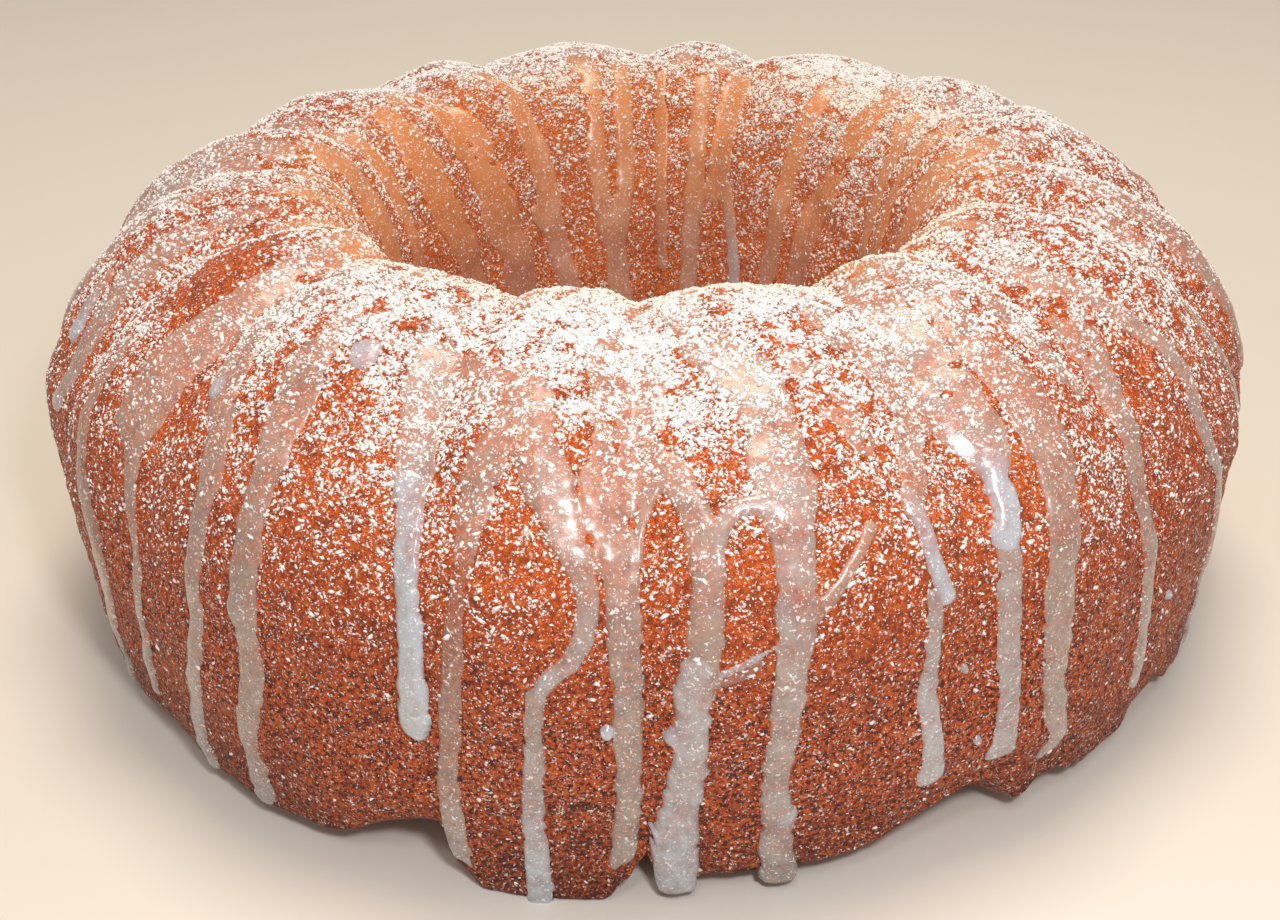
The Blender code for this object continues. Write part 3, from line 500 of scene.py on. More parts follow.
def glaze_map():
    """Height of the glaze over the even surface, and its whiteness, on the map's grid. A stream is
    the union of round cones along its path: with d the distance from the path and w its half
    width, its height is thickness times (1 - (d/w)^p)^(1/p) inside, and falls away outside.
    Streams are joined by a smooth maximum."""
    azimuth, run, radius = map_grid()
    points = skin(azimuth[:, None], np.minimum(run, EDGE_RUN)[None, :])
    height = np.full(points.shape[:2], NO_GLAZE)
    white = np.full(points.shape[:2], BARE_WHITENESS)
    ragged = waves(points, RAGGED, RAGGED_SEED)
    wide_ragged = waves(points, [WIDE_RAGGED], WIDE_RAGGED_SEED)
    film = np.interp(np.abs(run) / MM, FILM_RUNS, FILM_SHARES)
    drops = [(DROP_THICKNESS, DROP_WHITENESS, DROP_WHITENESS,
              ((place, along - DROP_HALF_LENGTH, width), (place, along + DROP_HALF_LENGTH, width)))
             for place, along, width in DROPS]
    for thickness, white_start, white_end, path in (*STREAMS, *drops, *seeded_streams()):
        curve = smooth_path(path)
        centre, along, half = curve[:, 0], curve[:, 1] * MM, curve[:, 2] * MM / 2
        reach = half.max() + STREAM_REACH
        rows = np.flatnonzero((run > along.min() - reach) & (run < along.max() + reach))
        turn = np.degrees(reach / radius[rows].min())
        middle = (centre.min() + centre.max()) / 2
        off = (azimuth - middle + 180) % 360 - 180
        columns = np.flatnonzero(np.abs(off) < (centre.max() - centre.min()) / 2 + turn)
        span = np.radians(off[columns])[:, None] * radius[rows][None, :]
        depth = np.broadcast_to(run[rows][None, :], span.shape)
        mesh = np.ix_(columns, rows)
        outside = np.full(span.shape, FAR)
        width = np.full(span.shape, half[0])
        whiteness = np.full(span.shape, white_start)
        for k in range(len(curve) - 1):
            x0 = np.radians(centre[k] - middle) * radius[rows][None, :]
            x1 = np.radians(centre[k + 1] - middle) * radius[rows][None, :]
            bx, by = x1 - x0, along[k + 1] - along[k]
            share = ((span - x0) * bx + (depth - along[k]) * by) / (bx * bx + by * by + TINY)
            share = np.clip(share, 0, 1)
            w = half[k] + (half[k + 1] - half[k]) * share
            distance = np.hypot(span - x0 - bx * share, depth - along[k] - by * share) - w
            width = np.where(distance < outside, w, width)
            here = white_start + (white_end - white_start) * (k + share) / (len(curve) - 1)
            whiteness = np.where(distance < outside, here, whiteness)
            outside = np.minimum(outside, distance)
        wide = np.interp(width / MM, WIDE_HALF, (0, 1))
        outside = outside + ragged[mesh] * np.minimum(width / RAGGED_HALF, 1) + wide_ragged[mesh] * wide
        inside = np.clip(1 + outside / width, 0, 1)
        dome = thickness * MM * film[rows] * (1 - inside**STREAM_FLATNESS) ** (1 / STREAM_FLATNESS)
        shape = np.where(outside < 0, dome, np.maximum(-EDGE_SLOPE * outside, NO_GLAZE))
        before = height[mesh]
        more = np.clip(0.5 + 0.5 * (shape - before) / BLEND, 0, 1)
        raised = BLEND * more * (1 - more) * (shape > NO_GLAZE / 2)
        height[mesh] = before * (1 - more) + shape * more + raised
        white[mesh] = white[mesh] * (1 - more) + whiteness * more
    return height + waves(points, GLAZE_WAVES, GLAZE_WAVE_SEED), white


def sample(chart, azimuth, run):
    """The map's value at any azimuth and run, blended between the four nearest grid points."""
    column = azimuth % 360 / 360 * MAP_COLUMNS
    row = np.clip((run - HOLE_EDGE_RUN) / MAP_RUN_STEP, 0, chart.shape[1] - LAST_CELL)
    c, r = np.floor(column).astype(int), np.floor(row).astype(int)
    u, v = column - c, row - r
    c, c2 = c % MAP_COLUMNS, (c + 1) % MAP_COLUMNS
    near = chart[c, r] * (1 - v) + chart[c, r + 1] * v
    far = chart[c2, r] * (1 - v) + chart[c2, r + 1] * v
    return near * (1 - u) + far * u


def patchy(points, size, seed, levels):
    """Value noise with a middle and a swing, kept between the least and 1."""
    middle, swing, least = levels
    return np.clip(middle + swing * lumps(points, size, seed), least, 1)


def sugar_share(azimuth, run, points):
    """How much sugar lies at a place: its share along the run times patches and clusters, less at
    the left and the right, by the size of the azimuth's cosine, and with each listed place's
    change, which fades out over the last two thirds of its radius."""
    patch = patchy(points, SUGAR_PATCH, PATCH_SEED, PATCH_LEVELS)
    cluster = patchy(points, SUGAR_CLUSTER, CLUSTER_SEED, CLUSTER_LEVELS)
    sides = 1 - SUGAR_LESS_AT_SIDES * np.abs(np.cos(np.radians(azimuth)))
    radius = np.interp(run, PROFILE_RUN, PROFILE_R)
    here = 1.0
    for middle, middle_run, reach, change in SUGAR_PLACES:
        aside = np.radians((azimuth - middle + 180) % 360 - 180) * radius
        distance = np.hypot(aside, run - middle_run * MM) / (reach * MM)
        here = here + change * smooth(PLACE_FADE - PLACE_FADE * distance)
    here = np.clip(here, *PLACE_LIMITS)
    return np.interp(run / MM, SUGAR_RUNS, SUGAR_SHARES) * patch * cluster * sides * here


class Value:
    """A shader socket in arithmetic: each operator adds the Math node that it names."""

    def __init__(self, paint, socket):
        self.paint = paint
        self.socket = socket

    def __add__(self, other):
        return self.paint.maths("ADD", self, other)

    def __sub__(self, other):
        return self.paint.maths("SUBTRACT", self, other)

    def __rsub__(self, other):
        return self.paint.maths("SUBTRACT", other, self)

    def __mul__(self, other):
        return self.paint.maths("MULTIPLY", self, other)

    def __pow__(self, other):
        return self.paint.maths("POWER", self, other)

    __radd__ = __add__
    __rmul__ = __mul__


class Paint:
    """A material under construction, whose nodes are added by its methods."""

    def __init__(self, name):
        self.material = bpy.data.materials.new(name)
        self.material.use_nodes = True
        self.tree = self.material.node_tree
        self.shader = self.tree.nodes["Principled BSDF"]
        self.place = self.node("TexCoord", output="Object")

    def node(self, kind, settings=None, values=None, output=0):
        """Adds a node, sets it, plugs values or links into its sockets, and returns one output."""
        made = self.tree.nodes.new("ShaderNode" + kind)
        for name, value in (settings or {}).items():
            setattr(made, name, value)
        for name, value in (values or {}).items():
            self.plug(made.inputs[name], value)
        return Value(self, made.outputs[output])

    def plug(self, socket, value):
        if isinstance(value, Value):
            self.tree.links.new(value.socket, socket)
        else:
            socket.default_value = value

    def maths(self, operation, first, second):
        return self.node("Math", {"operation": operation}, {0: first, 1: second})

    def attribute(self, name):
        return self.node("Attribute", {"attribute_name": name}, output="Fac")

    def part(self, axis):
        """The place along X, Y or Z, in metres."""
        return self.node("SeparateXYZ", None, {"Vector": self.place}, axis)

    def stretch(self, scale):
        return self.node("VectorMath", {"operation": "MULTIPLY"}, {0: self.place, 1: scale})

    def noise(self, scale, detail, roughness=0.5, place=None):
        values = {"Vector": place or self.place, "Scale": scale, "Detail": detail, "Roughness": roughness}
        return self.node("TexNoise", None, values)

    def cells(self, scale):
        return self.node("TexVoronoi", None, {"Vector": self.place, "Scale": scale})

    def step(self, value, low, high):
        """0 below low and 1 above high, S-shaped between."""
        values = {0: value, 1: low, 2: high, 3: 0.0, 4: 1.0}
        return self.node("MapRange", {"interpolation_type": "SMOOTHSTEP"}, values)

    def mix(self, first, second, share):
        first = (*first, 1.0) if isinstance(first, tuple) else first
        second = (*second, 1.0) if isinstance(second, tuple) else second
        return self.node("Mix", {"data_type": "RGBA"}, {0: share, 6: first, 7: second}, output=2)

    def bump(self, height, distance, strength):
        return self.node("Bump", None, {"Height": height, "Distance": distance, "Strength": strength})

    def finish(self, **sockets):
        """Plugs the shader's own sockets, named with _ for a space, and returns the material."""
        for name, value in sockets.items():
            self.plug(self.shader.inputs[name.replace("_", " ")], value)
        return self.material


# Colours of the crust: high and low on the wall, its dark patches, pores and cracks, the hole's wall,
# which is paler and has warm bounce light painted in, and the light crumbs
CRUST_BRIGHT = (0.74, 0.122, 0.013)
CRUST_RED = (0.56, 0.086, 0.014)
CRUST_DARK = (0.24, 0.036, 0.012)
CRUST_DEEP = (0.075, 0.014, 0.009)
CRUST_BASE = (0.065, 0.018, 0.012)
CRUST_HOLE_PALE_AND_BOUNCE = (0.80, 0.190, 0.036)
CRUMB_LIGHT = (0.74, 0.255, 0.070)
# Colours of the sugar: outside, in its shaded grains and in the hole, where warm bounce light is
# painted in, then its dust and a painted highlight for the glints
SUGAR_BRIGHT = (0.93, 0.925, 0.92)
SUGAR_SHADED = (0.84, 0.81, 0.80)
SUGAR_HOLE_BOUNCE = (0.96, 0.87, 0.78)
SUGAR_WHITE = (0.88, 0.85, 0.85)
# The glint colour is a painted highlight: white pinpoints mixed into the base colour of crust and glaze
PAINTED_GLINT = (0.97, 0.93, 0.93)
# Colours of the glaze: milky and thin, thick, and in the hole, tinted by the thin glaze and by painted
# warm bounce light; then the wet crust seen through it: outside, high in the hole with painted warm
# bounce light, and deep in it, darker with painted shade
THIN_MILK = (0.46, 0.475, 0.42)
MILK = (0.49, 0.52, 0.58)
MILK_HOLE_AND_BOUNCE = (0.66, 0.40, 0.24)
WET = (0.12, 0.035, 0.020)
WET_HOLE_AND_BOUNCE = (0.76, 0.245, 0.036)
# Painted shade: the wet crust under the glaze turns darker and greyer deep in the hole
WET_DEEP_SHADED = (0.48, 0.19, 0.115)

# Where a look sets in and where it is full: heights in m, and for the hole the distance from the axis
INSIDE_FROM_AXIS = (0.082, 0.066)
RED_HEIGHTS, BASE_HEIGHTS = (0.100, 0.045), (0.038, 0.012)
PORE_HEIGHTS, CRACK_HEIGHTS, GLINT_HEIGHTS = (0.080, 0.045), (0.045, 0.010), (0.010, 0.055)
DEEP_SHADE_HEIGHTS, SOAKED_HEIGHTS = (0.074, 0.044), (0.078, 0.055)
# The same for the values of noises, and of the milk and cover attributes
REDDER, MOTTLED, LIGHT_CRUMBS = (0.25, 0.95), (0.52, 0.36), (0.54, 0.62)
PORES, CRACKED, DUSTY, MOIST_SPOTS = (0.505, 0.43), (0.41, 0.33), (0.60, 0.625), (0.52, 0.64)
CRUST_GLINTS, GLAZE_GLINTS, GLINT_STEP = 0.655, 0.66, 0.04
WHITER, WHITE_INSIDE, GLOSSY, COVERED = (0.3, 0.7), (0.35, 0.65), (0.28, 0.44), (0.05, 0.60)
GRAINY, SHADED = (0.35, 0.7), (0.45, 0.75)
# How far each look is mixed in where it is full
BASE_SHARE, MOTTLE_SHARE, LIGHT_SHARE, CRACK_SHARE = 0.68, 0.55, 0.52, 0.85
LESS_MOTTLE_INSIDE, LESS_PORES_INSIDE = 0.7, 0.5
PORES_HIGH, PORES_LOW, GLINTS_HIGH, GLINTS_LOW = 0.45, 0.55, 0.65, 0.35
CRUST_DUST, GLAZE_DUST, GLAZE_GLINT_SHARE, WET_HOLE_BOUNCE_SHARE = 0.85, 0.75, 0.55, 0.75

# Noises: scale for each metre, detail and roughness, and how far in m the first one moves a height
WANDER_REACH = 0.024
WANDER, PATCHES, MOTTLE = (55.0, 3.0), (95.0, 3.0, 0.6), (240.0, 4.0, 0.65)
CRUMB, CRACKS, CRACK_STRETCH = (1250.0, 3.0, 0.75), (1.0, 3.0, 0.6), (110.0, 110.0, 520.0)
DUST, DUST_CLUSTERS, GLINTS = (1550.0, 2.0, 0.6), (700.0, 2.0, 0.5), (2300.0, 1.0, 0.5)
GRAIN, GRAIN_CELLS, MOIST = (1350.0, 3.0, 0.7), 800.0, (1000.0, 2.0)
CLOUDS, SMALL_CLOUDS = (190.0, 3.0, 0.6), (640.0, 2.0, 0.6)
GLAZE_GRAIN, GLAZE_RIPPLE = (1100.0, 3.0), (700.0, 3.0, 0.6)
SUGAR_SHADE, SUGAR_GRAIN = (300.0, 2.0), (2500.0, 2.0)


def inside_share(paint):
    """0 outside the crest and 1 in the hole, by the distance from the axis."""
    x, y = paint.part("X"), paint.part("Y")
    return paint.step((x * x + y * y) ** 0.5, *INSIDE_FROM_AXIS)


def crust_colour(paint):
    """Orange-red crumb that is lighter and more orange in the hole, partly a paler bake and partly
    painted warm bounce light, redder down the wall and dark at the base, with dark patches, light and
    dark grains and, near the base, flat dark cracks."""
    height, inside = paint.part("Z"), inside_share(paint)
    wandering = height + paint.noise(*WANDER) * WANDER_REACH
    low = paint.step(wandering, *RED_HEIGHTS) * 0.8 + paint.noise(*PATCHES) * 0.5
    crumb = paint.noise(*CRUMB)
    colour = paint.mix(CRUST_BRIGHT, CRUST_RED, paint.step(low, *REDDER))
    # In the hole: a paler crust with painted warm bounce light
    colour = paint.mix(colour, CRUST_HOLE_PALE_AND_BOUNCE, inside)
    colour = paint.mix(colour, CRUST_DEEP, paint.step(wandering, *BASE_HEIGHTS) * BASE_SHARE)
    colour = paint.mix(colour, CRUMB_LIGHT, paint.step(crumb, *LIGHT_CRUMBS) * LIGHT_SHARE)
    mottle = paint.step(paint.noise(*MOTTLE), *MOTTLED) * (1.0 - inside * LESS_MOTTLE_INSIDE)
    colour = paint.mix(colour, CRUST_DARK, mottle * MOTTLE_SHARE)
    pores = paint.step(crumb, *PORES) * (PORES_HIGH + paint.step(wandering, *PORE_HEIGHTS) * PORES_LOW)
    colour = paint.mix(colour, CRUST_DEEP, pores * (1.0 - inside * LESS_PORES_INSIDE))
    cracks = paint.step(paint.noise(*CRACKS, paint.stretch(CRACK_STRETCH)), *CRACKED)
    return paint.mix(colour, CRUST_BASE, cracks * paint.step(height, *CRACK_HEIGHTS) * CRACK_SHARE)


def speckle(paint):
    """Fine sugar dust: small white spots, more of them where the sugar attribute is high."""
    spots = paint.noise(*DUST) * 0.75 + paint.noise(*DUST_CLUSTERS) * 0.25
    return paint.step(spots + paint.attribute("sugar") * 0.10, *DUSTY)


def glints(paint, least):
    """Where highlights are painted: pinpoints where a moist grain catches the light, the tops of a very
    fine noise.
    """
    return paint.step(paint.noise(*GLINTS), least, least + GLINT_STEP)


def crust_material():
    """Moist browned crumb with a fine grain, painted highlights as white glints in the base colour
    beside the real gloss of moist spots, and sugar dust where much sugar lies.
    """
    paint = Paint("browned_crust")
    # Painted highlights: white glints mixed into the base colour, fewer near the foot of the wall
    high = paint.step(paint.part("Z"), *GLINT_HEIGHTS)
    painted_glint_share = glints(paint, CRUST_GLINTS) * (GLINTS_LOW + high * GLINTS_HIGH)
    colour = paint.mix(crust_colour(paint), PAINTED_GLINT, painted_glint_share)
    colour = paint.mix(colour, SUGAR_WHITE, speckle(paint) * CRUST_DUST)
    rough = 0.68 - paint.step(paint.noise(*MOIST), *MOIST_SPOTS) * 0.45
    normal = paint.bump(paint.noise(*GRAIN) + paint.cells(GRAIN_CELLS) * 0.45, 1.0 * MM, 1.0)
    return paint.finish(Base_Color=colour, Roughness=rough, Normal=normal, Specular_IOR_Level=0.35)


def glaze_material():
    """Set sugar glaze: a thin coat wets and tints the crust, and a thick one is milky white. The
    milk attribute says how white it is, and the cover attribute fades it out at its rim."""
    paint = Paint("sugar_glaze")
    crust, inside, height = crust_colour(paint), inside_share(paint), paint.part("Z")
    milky, cover = paint.attribute("milk"), paint.attribute("cover")
    clouds = paint.noise(*CLOUDS) * 2.6 + paint.noise(*SMALL_CLOUDS) * 1.4 - 2.0
    # In the hole the wet crust under the glaze has painted warm bounce light, and it turns darker deep in
    # the hole with painted shade
    wet_hole_bounce_and_shade = paint.mix(WET_HOLE_AND_BOUNCE, WET_DEEP_SHADED, paint.step(height, *DEEP_SHADE_HEIGHTS))
    soaked = paint.step(height, *SOAKED_HEIGHTS) * 0.28 + 0.18
    wet = paint.mix(paint.mix(crust, WET, soaked), wet_hole_bounce_and_shade, inside * WET_HOLE_BOUNCE_SHARE)
    milk = paint.mix(THIN_MILK, MILK, paint.step(milky, *WHITER))
    # In the hole the milk is tinted orange, partly by the thin glaze and partly by painted warm bounce
    # light
    milk = paint.mix(milk, MILK_HOLE_AND_BOUNCE, inside * (0.8 - paint.step(milky, *WHITE_INSIDE) * 0.6))
    colour = paint.mix(wet, milk, milky * (1.12 + clouds * 0.75))
    colour = paint.mix(crust, colour, paint.step(cover + clouds * 0.3, *COVERED))
    # Painted highlights: white glints mixed into the glaze's base colour
    colour = paint.mix(colour, PAINTED_GLINT, glints(paint, GLAZE_GLINTS) * GLAZE_GLINT_SHARE)
    colour = paint.mix(colour, SUGAR_WHITE, speckle(paint) * GLAZE_DUST)
    rough = paint.step(paint.noise(*GLAZE_GRAIN), *GRAINY) * 0.15 + 0.42
    rough = rough - paint.step(milky, *GLOSSY) * 0.28
    normal = paint.bump(paint.noise(*GLAZE_RIPPLE), 0.25 * MM, 0.4)
    return paint.finish(Base_Color=colour, Roughness=rough, Normal=normal, Specular_IOR_Level=0.5,
                        Coat_Weight=0.6, Coat_Roughness=0.2)


def sugar_material():
    """Dull white powder, a little shaded in soft patches, and warmer in the hole with painted warm bounce
    light.
    """
    paint = Paint("powdered_sugar")
    colour = paint.mix(SUGAR_BRIGHT, SUGAR_SHADED, paint.step(paint.noise(*SUGAR_SHADE), *SHADED))
    # Painted warm bounce light on the sugar in the hole
    colour = paint.mix(colour, SUGAR_HOLE_BOUNCE, inside_share(paint) * 0.8)
    normal = paint.bump(paint.noise(*SUGAR_GRAIN), 0.1 * MM, 0.6)
    return paint.finish(Base_Color=colour, Roughness=0.85, Normal=normal, Specular_IOR_Level=0.3)


def floor_material():
    """A matt pale floor with faint clouds."""
    paint = Paint("pale_floor")
    darker = tuple(FLOOR_SHADE * part for part in FLOOR_COLOUR)
    colour = paint.mix(FLOOR_COLOUR, darker, paint.noise(*FLOOR_CLOUD))
    return paint.finish(Base_Color=colour, Roughness=FLOOR_ROUGHNESS)


def new_mesh(name, points, faces, material, **attributes):
    """A shaded-smooth mesh object at the origin, from arrays of points and of faces that all have
    the same number of corners. Each attribute holds a number for each point."""
    mesh = bpy.data.meshes.new(name)
    mesh.vertices.add(len(points))
    mesh.vertices.foreach_set("co", np.ascontiguousarray(points, np.float32).ravel())
    mesh.loops.add(faces.size)
    mesh.loops.foreach_set("vertex_index", np.ascontiguousarray(faces, np.int32).ravel())
    mesh.polygons.add(len(faces))
    mesh.polygons.foreach_set("loop_start", np.arange(len(faces), dtype=np.int32) * faces.shape[1])
    mesh.update(calc_edges=True)
    mesh.shade_smooth()
    for key, values in attributes.items():
        layer = mesh.attributes.new(key, "FLOAT", "POINT")
        layer.data.foreach_set("value", np.ascontiguousarray(values, np.float32).ravel())
    mesh.materials.append(material)
    made = bpy.data.objects.new(name, mesh)
    bpy.context.scene.collection.objects.link(made)
    return made


def cake_piece(slot, name, points, faces, material, **attributes):
    """A mesh that belongs to the cake. It stays inside the box of the solid that it dresses."""
    made = new_mesh(name, np.clip(points, BOX_LOW, BOX_HIGH), faces, material, **attributes)
    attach(made, "root")
    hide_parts("ring_cake")
    return made


def crust_piece(glaze, material):
    """The whole closed crust: rows from the hole's edge over the crest and down the wall, then
    under the cake, where the height falls from the edge by a power of the way in."""
    azimuth = np.arange(CRUST_COLUMNS) * 360 / CRUST_COLUMNS
    inner = np.linspace(HOLE_EDGE_RUN, 0, CRUST_HOLE_ROWS, endpoint=False)
    run = np.concatenate([inner, np.linspace(0, EDGE_RUN, CRUST_OUTER_ROWS)])
    even = skin(azimuth[:, None], run[None, :])
    upper = skin(azimuth[:, None], run[None, :], crust_relief(even))
    sugar = sugar_share(azimuth[:, None], run[None, :], even)
    over = sample(glaze, *np.broadcast_arrays(azimuth[:, None], run[None, :]))
    bare = 1 - smooth(over / DUST_REACH + 0.5)
    way = np.linspace(0, 1, CRUST_DOME_ROWS)[1:]
    edge, around = upper[:, -1], np.radians(azimuth)
    outer_radius = np.hypot(edge[:, 0], edge[:, 1])[:, None]
    dome_r = outer_radius + (REST_OUTER_RADIUS - outer_radius) * way
    dome_z = np.maximum(edge[:, 2:3], 0) * (1 - way) ** DOME_POWER
    first = upper[:, 0]
    hole_radius = np.hypot(first[:, 0], first[:, 1])[:, None]
    flat_r = np.array([REST_INNER_RADIUS, HOLE_RADIUS + HOLE_BEVEL])
    flat_r = np.maximum(flat_r, hole_radius + np.array(UNDER_STEPS))
    flat_z = np.broadcast_to((0, HOLE_EDGE_HEIGHT / 2), flat_r.shape)
    under_r, under_z = np.concatenate([dome_r, flat_r], 1), np.concatenate([dome_z, flat_z], 1)
    under = np.stack([under_r * np.cos(around)[:, None], under_r * np.sin(around)[:, None], under_z], -1)
    points = np.concatenate([upper, under], 1)
    columns, rows = points.shape[:2]
    c, r = np.meshgrid(np.arange(columns), np.arange(rows), indexing="ij")
    c2, r2 = (c + 1) % columns, (r + 1) % rows
    faces = np.stack([c * rows + r, c * rows + r2, c2 * rows + r2, c2 * rows + r], -1).reshape(-1, 4)
    sugar = np.concatenate([sugar * bare, np.zeros(under_z.shape)], 1)
    return cake_piece("crust", "crust", points.reshape(-1, 3), faces, material, sugar=sugar.ravel())


def closed_shell(top, bottom, faces):
    """Points and faces of a sheet closed with a bottom of its own, and with walls round its rim."""
    count = len(top)
    sides = np.stack([faces, np.roll(faces, -1, 1)], -1).reshape(-1, 2)
    key, back = sides[:, 0] * count + sides[:, 1], sides[:, 1] * count + sides[:, 0]
    rim = sides[~np.isin(key, back)]
    walls = np.stack([rim[:, 1], rim[:, 0], rim[:, 0] + count, rim[:, 1] + count], -1)
    return np.concatenate([top, bottom]), np.concatenate([faces, faces[:, ::-1] + count, walls])


def glaze_piece(name, height, white, first, last, step, low_row, high_row, material):
    """The part of the glaze map between those columns and rows, as a closed shell. It is kept where
    the glaze rises over the crust, its rim dips just under the crust's lumps, and it reaches a
    little under its neighbours by the square of the distance past its bounds."""
    azimuth, run, _ = map_grid()
    columns = np.arange(first - OVERLAP, last + OVERLAP + 1, step)
    rows = np.arange(max(low_row - OVERLAP, 0), min(high_row + OVERLAP, len(run) - 1) + 1)
    past_column = np.maximum(np.maximum(first - columns, columns - last), 0)[:, None]
    past_row = np.maximum(np.maximum(low_row - rows, rows - high_row), 0)[None, :]
    dip = OVERLAP_DIP * (np.maximum(past_column, past_row) / OVERLAP) ** 2
    azimuth, run = azimuth[columns % MAP_COLUMNS], run[rows]
    mesh = np.ix_(columns % MAP_COLUMNS, rows)
    lift, milk = height[mesh] - CRUST_SINK, white[mesh]
    on_cake = azimuth[:, None], np.minimum(run, EDGE_RUN)[None, :]
    even = skin(*on_cake)
    shows = lift > crust_relief(even)
    quad = shows[:-1, :-1] | shows[1:, :-1] | shows[:-1, 1:] | shows[1:, 1:]
    c, r = np.nonzero(quad)
    n = len(run)
    faces = np.stack([c * n + r, c * n + r + 1, (c + 1) * n + r + 1, (c + 1) * n + r], -1)
    used, index = np.unique(faces, return_inverse=True)
    faces = index.reshape(faces.shape)
    lift = np.maximum(lift, GLAZE_LOWEST - CRUST_SINK) - dip
    bottom = np.minimum(GLAZE_BOTTOM - CRUST_SINK, lift - GLAZE_LEAST)
    drop = np.zeros((*lift.shape, 3))
    drop[..., 2] = np.maximum(run - EDGE_RUN, 0)
    top, low = ((skin(*on_cake, layer) - drop).reshape(-1, 3)[used] for layer in (lift, bottom))
    points, faces = closed_shell(top, low, faces)
    thick = smooth(height[mesh] / FULL_WHITE)
    milk = (milk * (THIN_SHARE + (1 - THIN_SHARE) * thick)).ravel()[used]
    cover = smooth((height[mesh] - COVER_LOW) / (COVER_HIGH - COVER_LOW)).ravel()[used]
    on_glaze = np.interp(run / MM, SUGAR_RUNS, SUGAR_ON_GLAZE)[None, :]
    sugar = (sugar_share(azimuth[:, None], run[None, :], even) * on_glaze).ravel()[used]
    looks = {"milk": np.tile(milk, 2), "cover": np.tile(cover, 2), "sugar": np.tile(sugar, 2)}
    return cake_piece("glaze", name, points, faces, material, **looks)


def sugar_piece(rng, kind, glaze, material):
    """Grains of one kind: each is a flat crystal with a ragged rim of corners, a peak and a foot,
    turned at random and set on the crust or the glaze where a random draw falls under the share
    of sugar there."""
    name, count, corners, (small, large), height_share = kind
    azimuth = rng.uniform(0, 360, count * GRAIN_TRIES)
    run = rng.uniform(HOLE_EDGE_RUN + GRAIN_HOLE_GAP, EDGE_RUN - GRAIN_EDGE_GAP, len(azimuth))
    even = skin(azimuth, run)
    share = sugar_share(azimuth, run, even)
    over = sample(glaze, azimuth, run)
    on_glaze = np.interp(run / MM, SUGAR_RUNS, SUGAR_ON_GLAZE)
    share = share * np.where(over > GRAIN_ON_GLAZE, on_glaze, 1)
    share = share * np.interp(run, PROFILE_RUN, PROFILE_R) / WIDEST_RADIUS
    chosen = np.flatnonzero(rng.random(len(azimuth)) < share)[:count]
    azimuth, run, even, over = azimuth[chosen], run[chosen], even[chosen], over[chosen]
    lift = np.maximum(crust_relief(even), over - CRUST_SINK)
    centre = skin(azimuth, run, lift)
    along = skin(azimuth, run + RUN_NUDGE) - even
    across = skin(azimuth + TURN_NUDGE, run) - even
    along /= np.linalg.norm(along, axis=1, keepdims=True)
    normal = np.cross(along, across)
    normal /= np.linalg.norm(normal, axis=1, keepdims=True)
    across = np.cross(normal, along)
    each, every = (len(chosen), 1), (len(chosen), corners)
    size = rng.uniform(small, large, (*each, 1)) * MM
    size = size * np.interp(run / MM, LARGER_RUNS, LARGER)[:, None, None]
    turn = (np.arange(corners) + rng.uniform(-CORNER_STRAY, CORNER_STRAY, every)) * 2 * math.pi / corners
    turn = turn + rng.uniform(0, 2 * math.pi, each)
    reach = rng.uniform(*CORNER_REACH, every)
    tilt = rng.uniform(*CORNER_TILT, every)
    angle = math.pi / 2 + rng.normal(0, LEVEL_SPREAD, each)
    long = np.cos(turn) * reach * rng.uniform(*GRAIN_LENGTH, each)
    cross = np.sin(turn) * reach * GRAIN_BREADTH
    first = long * np.cos(angle) - cross * np.sin(angle)
    second = long * np.sin(angle) + cross * np.cos(angle)
    rim = first[..., None] * along[:, None] + second[..., None] * across[:, None]
    rim = rim + (tilt * height_share)[..., None] * normal[:, None]
    peak = normal[:, None] * height_share + (along * rng.uniform(-PEAK_STRAY, PEAK_STRAY, each))[:, None]
    foot = -normal[:, None] * FOOT_DEPTH
    grains = centre[:, None] + np.concatenate([rim, peak, foot], 1) * size
    ring = np.arange(corners)
    upper = np.stack([ring, (ring + 1) % corners, np.full(corners, corners)], -1)
    lower = np.stack([(ring + 1) % corners, ring, np.full(corners, corners + 1)], -1)
    faces = np.concatenate([upper, lower])[None] + (np.arange(len(chosen)) * (corners + 2))[:, None, None]
    return cake_piece("sugar", name, grains.reshape(-1, 3), faces.reshape(-1, 3), material)


def make_floor():
    """A large square at the height that the cake rests on."""
    half = FLOOR_SIZE / 2
    points = np.array([(-half, -half, 0), (half, -half, 0), (half, half, 0), (-half, half, 0)])
    floor = new_mesh("floor", points, np.array([[0, 1, 2, 3]]), floor_material())
    floor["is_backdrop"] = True


def make_camera():
    """The camera at the photograph's angle, turned about its own axis by the roll."""
    back = np.array([0, -math.cos(CAMERA_ELEVATION), math.sin(CAMERA_ELEVATION)])
    right = np.array([1.0, 0, 0])
    up = np.cross(right, -back)
    cosine, sine = math.cos(CAMERA_ROLL), math.sin(CAMERA_ROLL)
    right, up = cosine * right + sine * up, -sine * right + cosine * up
    data = bpy.data.cameras.new("camera")
    data.lens, data.sensor_width = FOCAL_LENGTH, SENSOR_WIDTH
    data.clip_start, data.clip_end = CLIP_START, CLIP_END
    camera = bpy.data.objects.new("camera", data)
    bpy.context.scene.collection.objects.link(camera)
    eye = np.array(CAMERA_TARGET) + back * CAMERA_DISTANCE
    matrix = np.eye(4)
    matrix[:3, :3] = np.stack([right, up, back], 1)
    matrix[:3, 3] = eye
    camera.matrix_world = Matrix(matrix.tolist())
    bpy.context.scene.camera = camera
    return eye


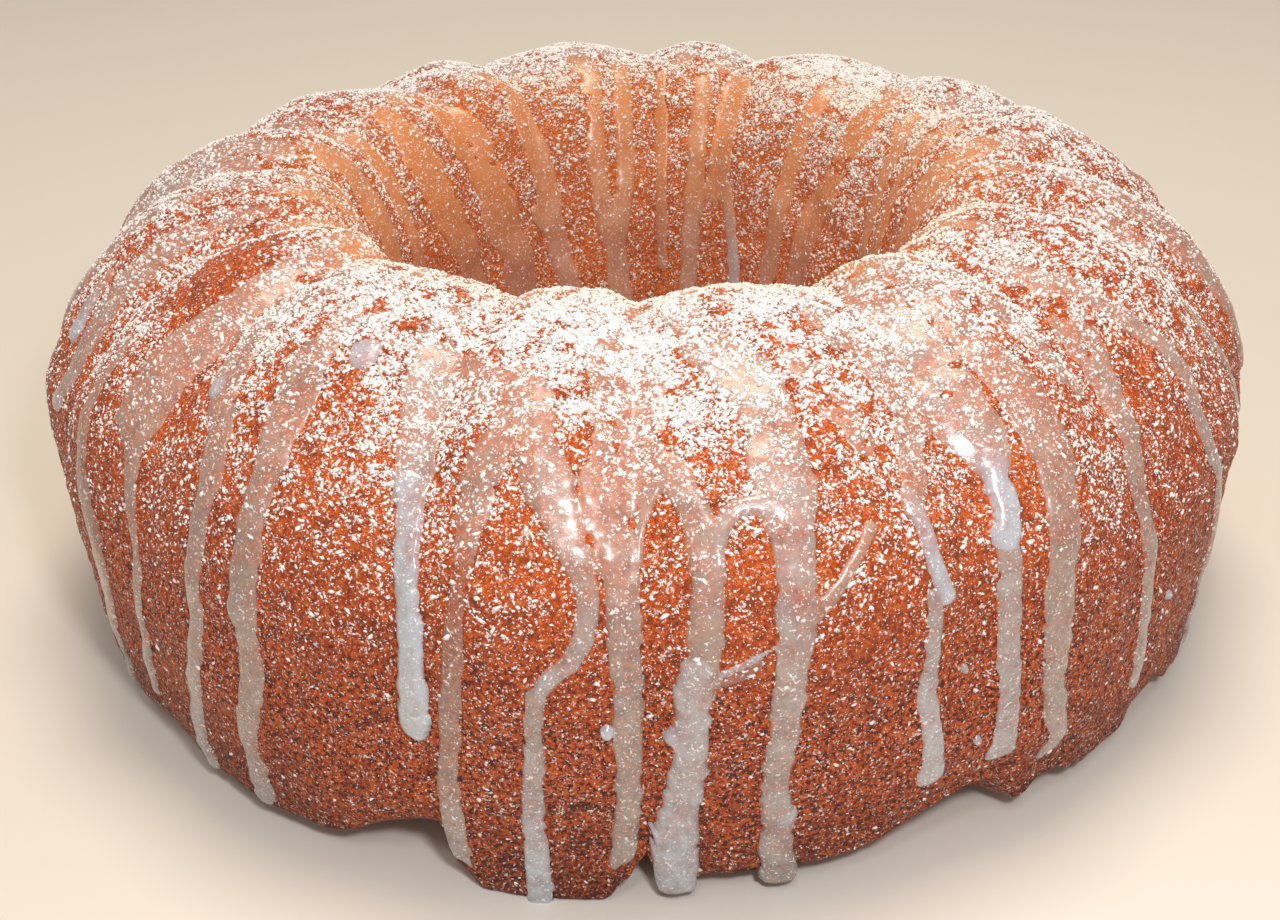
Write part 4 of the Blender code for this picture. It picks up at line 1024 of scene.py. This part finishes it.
def aim(made, place, target):
    """Sets a light at a place and turns its -Z towards the target."""
    back = np.array(place, float) - np.array(target, float)
    back /= np.linalg.norm(back)
    right = np.cross((0, 0, 1), back)
    right /= np.linalg.norm(right)
    matrix = np.eye(4)
    matrix[:3, :3] = np.stack([right, np.cross(back, right), back], 1)
    matrix[:3, 3] = place
    made.matrix_world = Matrix(matrix.tolist())


def make_light(name, place, size, power, colour):
    """A round lamp at a place, turned towards the cake."""
    data = bpy.data.lights.new(name, "AREA")
    data.shape = "DISK"
    data.size, data.energy, data.color = size, power, colour
    made = bpy.data.objects.new(name, data)
    bpy.context.scene.collection.objects.link(made)
    aim(made, place, LAMP_TARGET)


def make_lights(eye):
    """A small cool lamp high in front for the gloss, a wide warm one above for the crest, a small
    one beside the camera for the wall, and the even warm light of the room."""
    make_light(*KEY)
    make_light(*TOP)
    name, from_eye, *rest = LENS_SIDE
    make_light(name, eye + np.array(from_eye), *rest)
    world = bpy.data.worlds.new("room")
    world.use_nodes = True
    background = world.node_tree.nodes["Background"]
    background.inputs["Color"].default_value = ROOM_COLOUR
    background.inputs["Strength"].default_value = ROOM_STRENGTH
    bpy.context.scene.world = world
    bpy.context.scene.view_settings.view_transform = "Standard"


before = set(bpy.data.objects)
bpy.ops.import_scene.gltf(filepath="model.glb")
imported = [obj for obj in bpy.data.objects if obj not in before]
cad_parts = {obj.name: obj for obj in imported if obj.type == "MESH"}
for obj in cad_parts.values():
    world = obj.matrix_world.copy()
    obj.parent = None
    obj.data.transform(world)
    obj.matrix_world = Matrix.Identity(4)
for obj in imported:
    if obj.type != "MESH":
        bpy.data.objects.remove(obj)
BOX_LOW, BOX_HIGH = (np.array(corner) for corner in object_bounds())

make_floor()
make_lights(make_camera())
glaze_height, glaze_white = glaze_map()
crust_piece(glaze_height, crust_material())

glaze = glaze_material()
crest_row, last_row = int(-HOLE_EDGE_RUN / MAP_RUN_STEP), glaze_height.shape[1] - 1
# Pieces of the glaze: name, first and last column of the map, step, first and last row
GLAZE_PARTS = (
    ("glaze_front_left", 760, 1080, 1, crest_row, last_row),
    ("glaze_front_right", 1080, 1420, 1, crest_row, last_row),
    ("glaze_back", 1420, 2200, 2, crest_row, last_row),
    ("glaze_hole_far", 0, 760, 2, 0, crest_row),
    ("glaze_hole_near", 760, MAP_COLUMNS, 2, 0, crest_row),
)
for part_name, *bounds in GLAZE_PARTS:
    glaze_piece(part_name, glaze_height, glaze_white, *bounds, glaze)

sugar = sugar_material()
grain_rng = np.random.default_rng(SEED + 2)
for grain_kind in GRAIN_KINDS:
    sugar_piece(grain_rng, grain_kind, glaze_height, sugar)
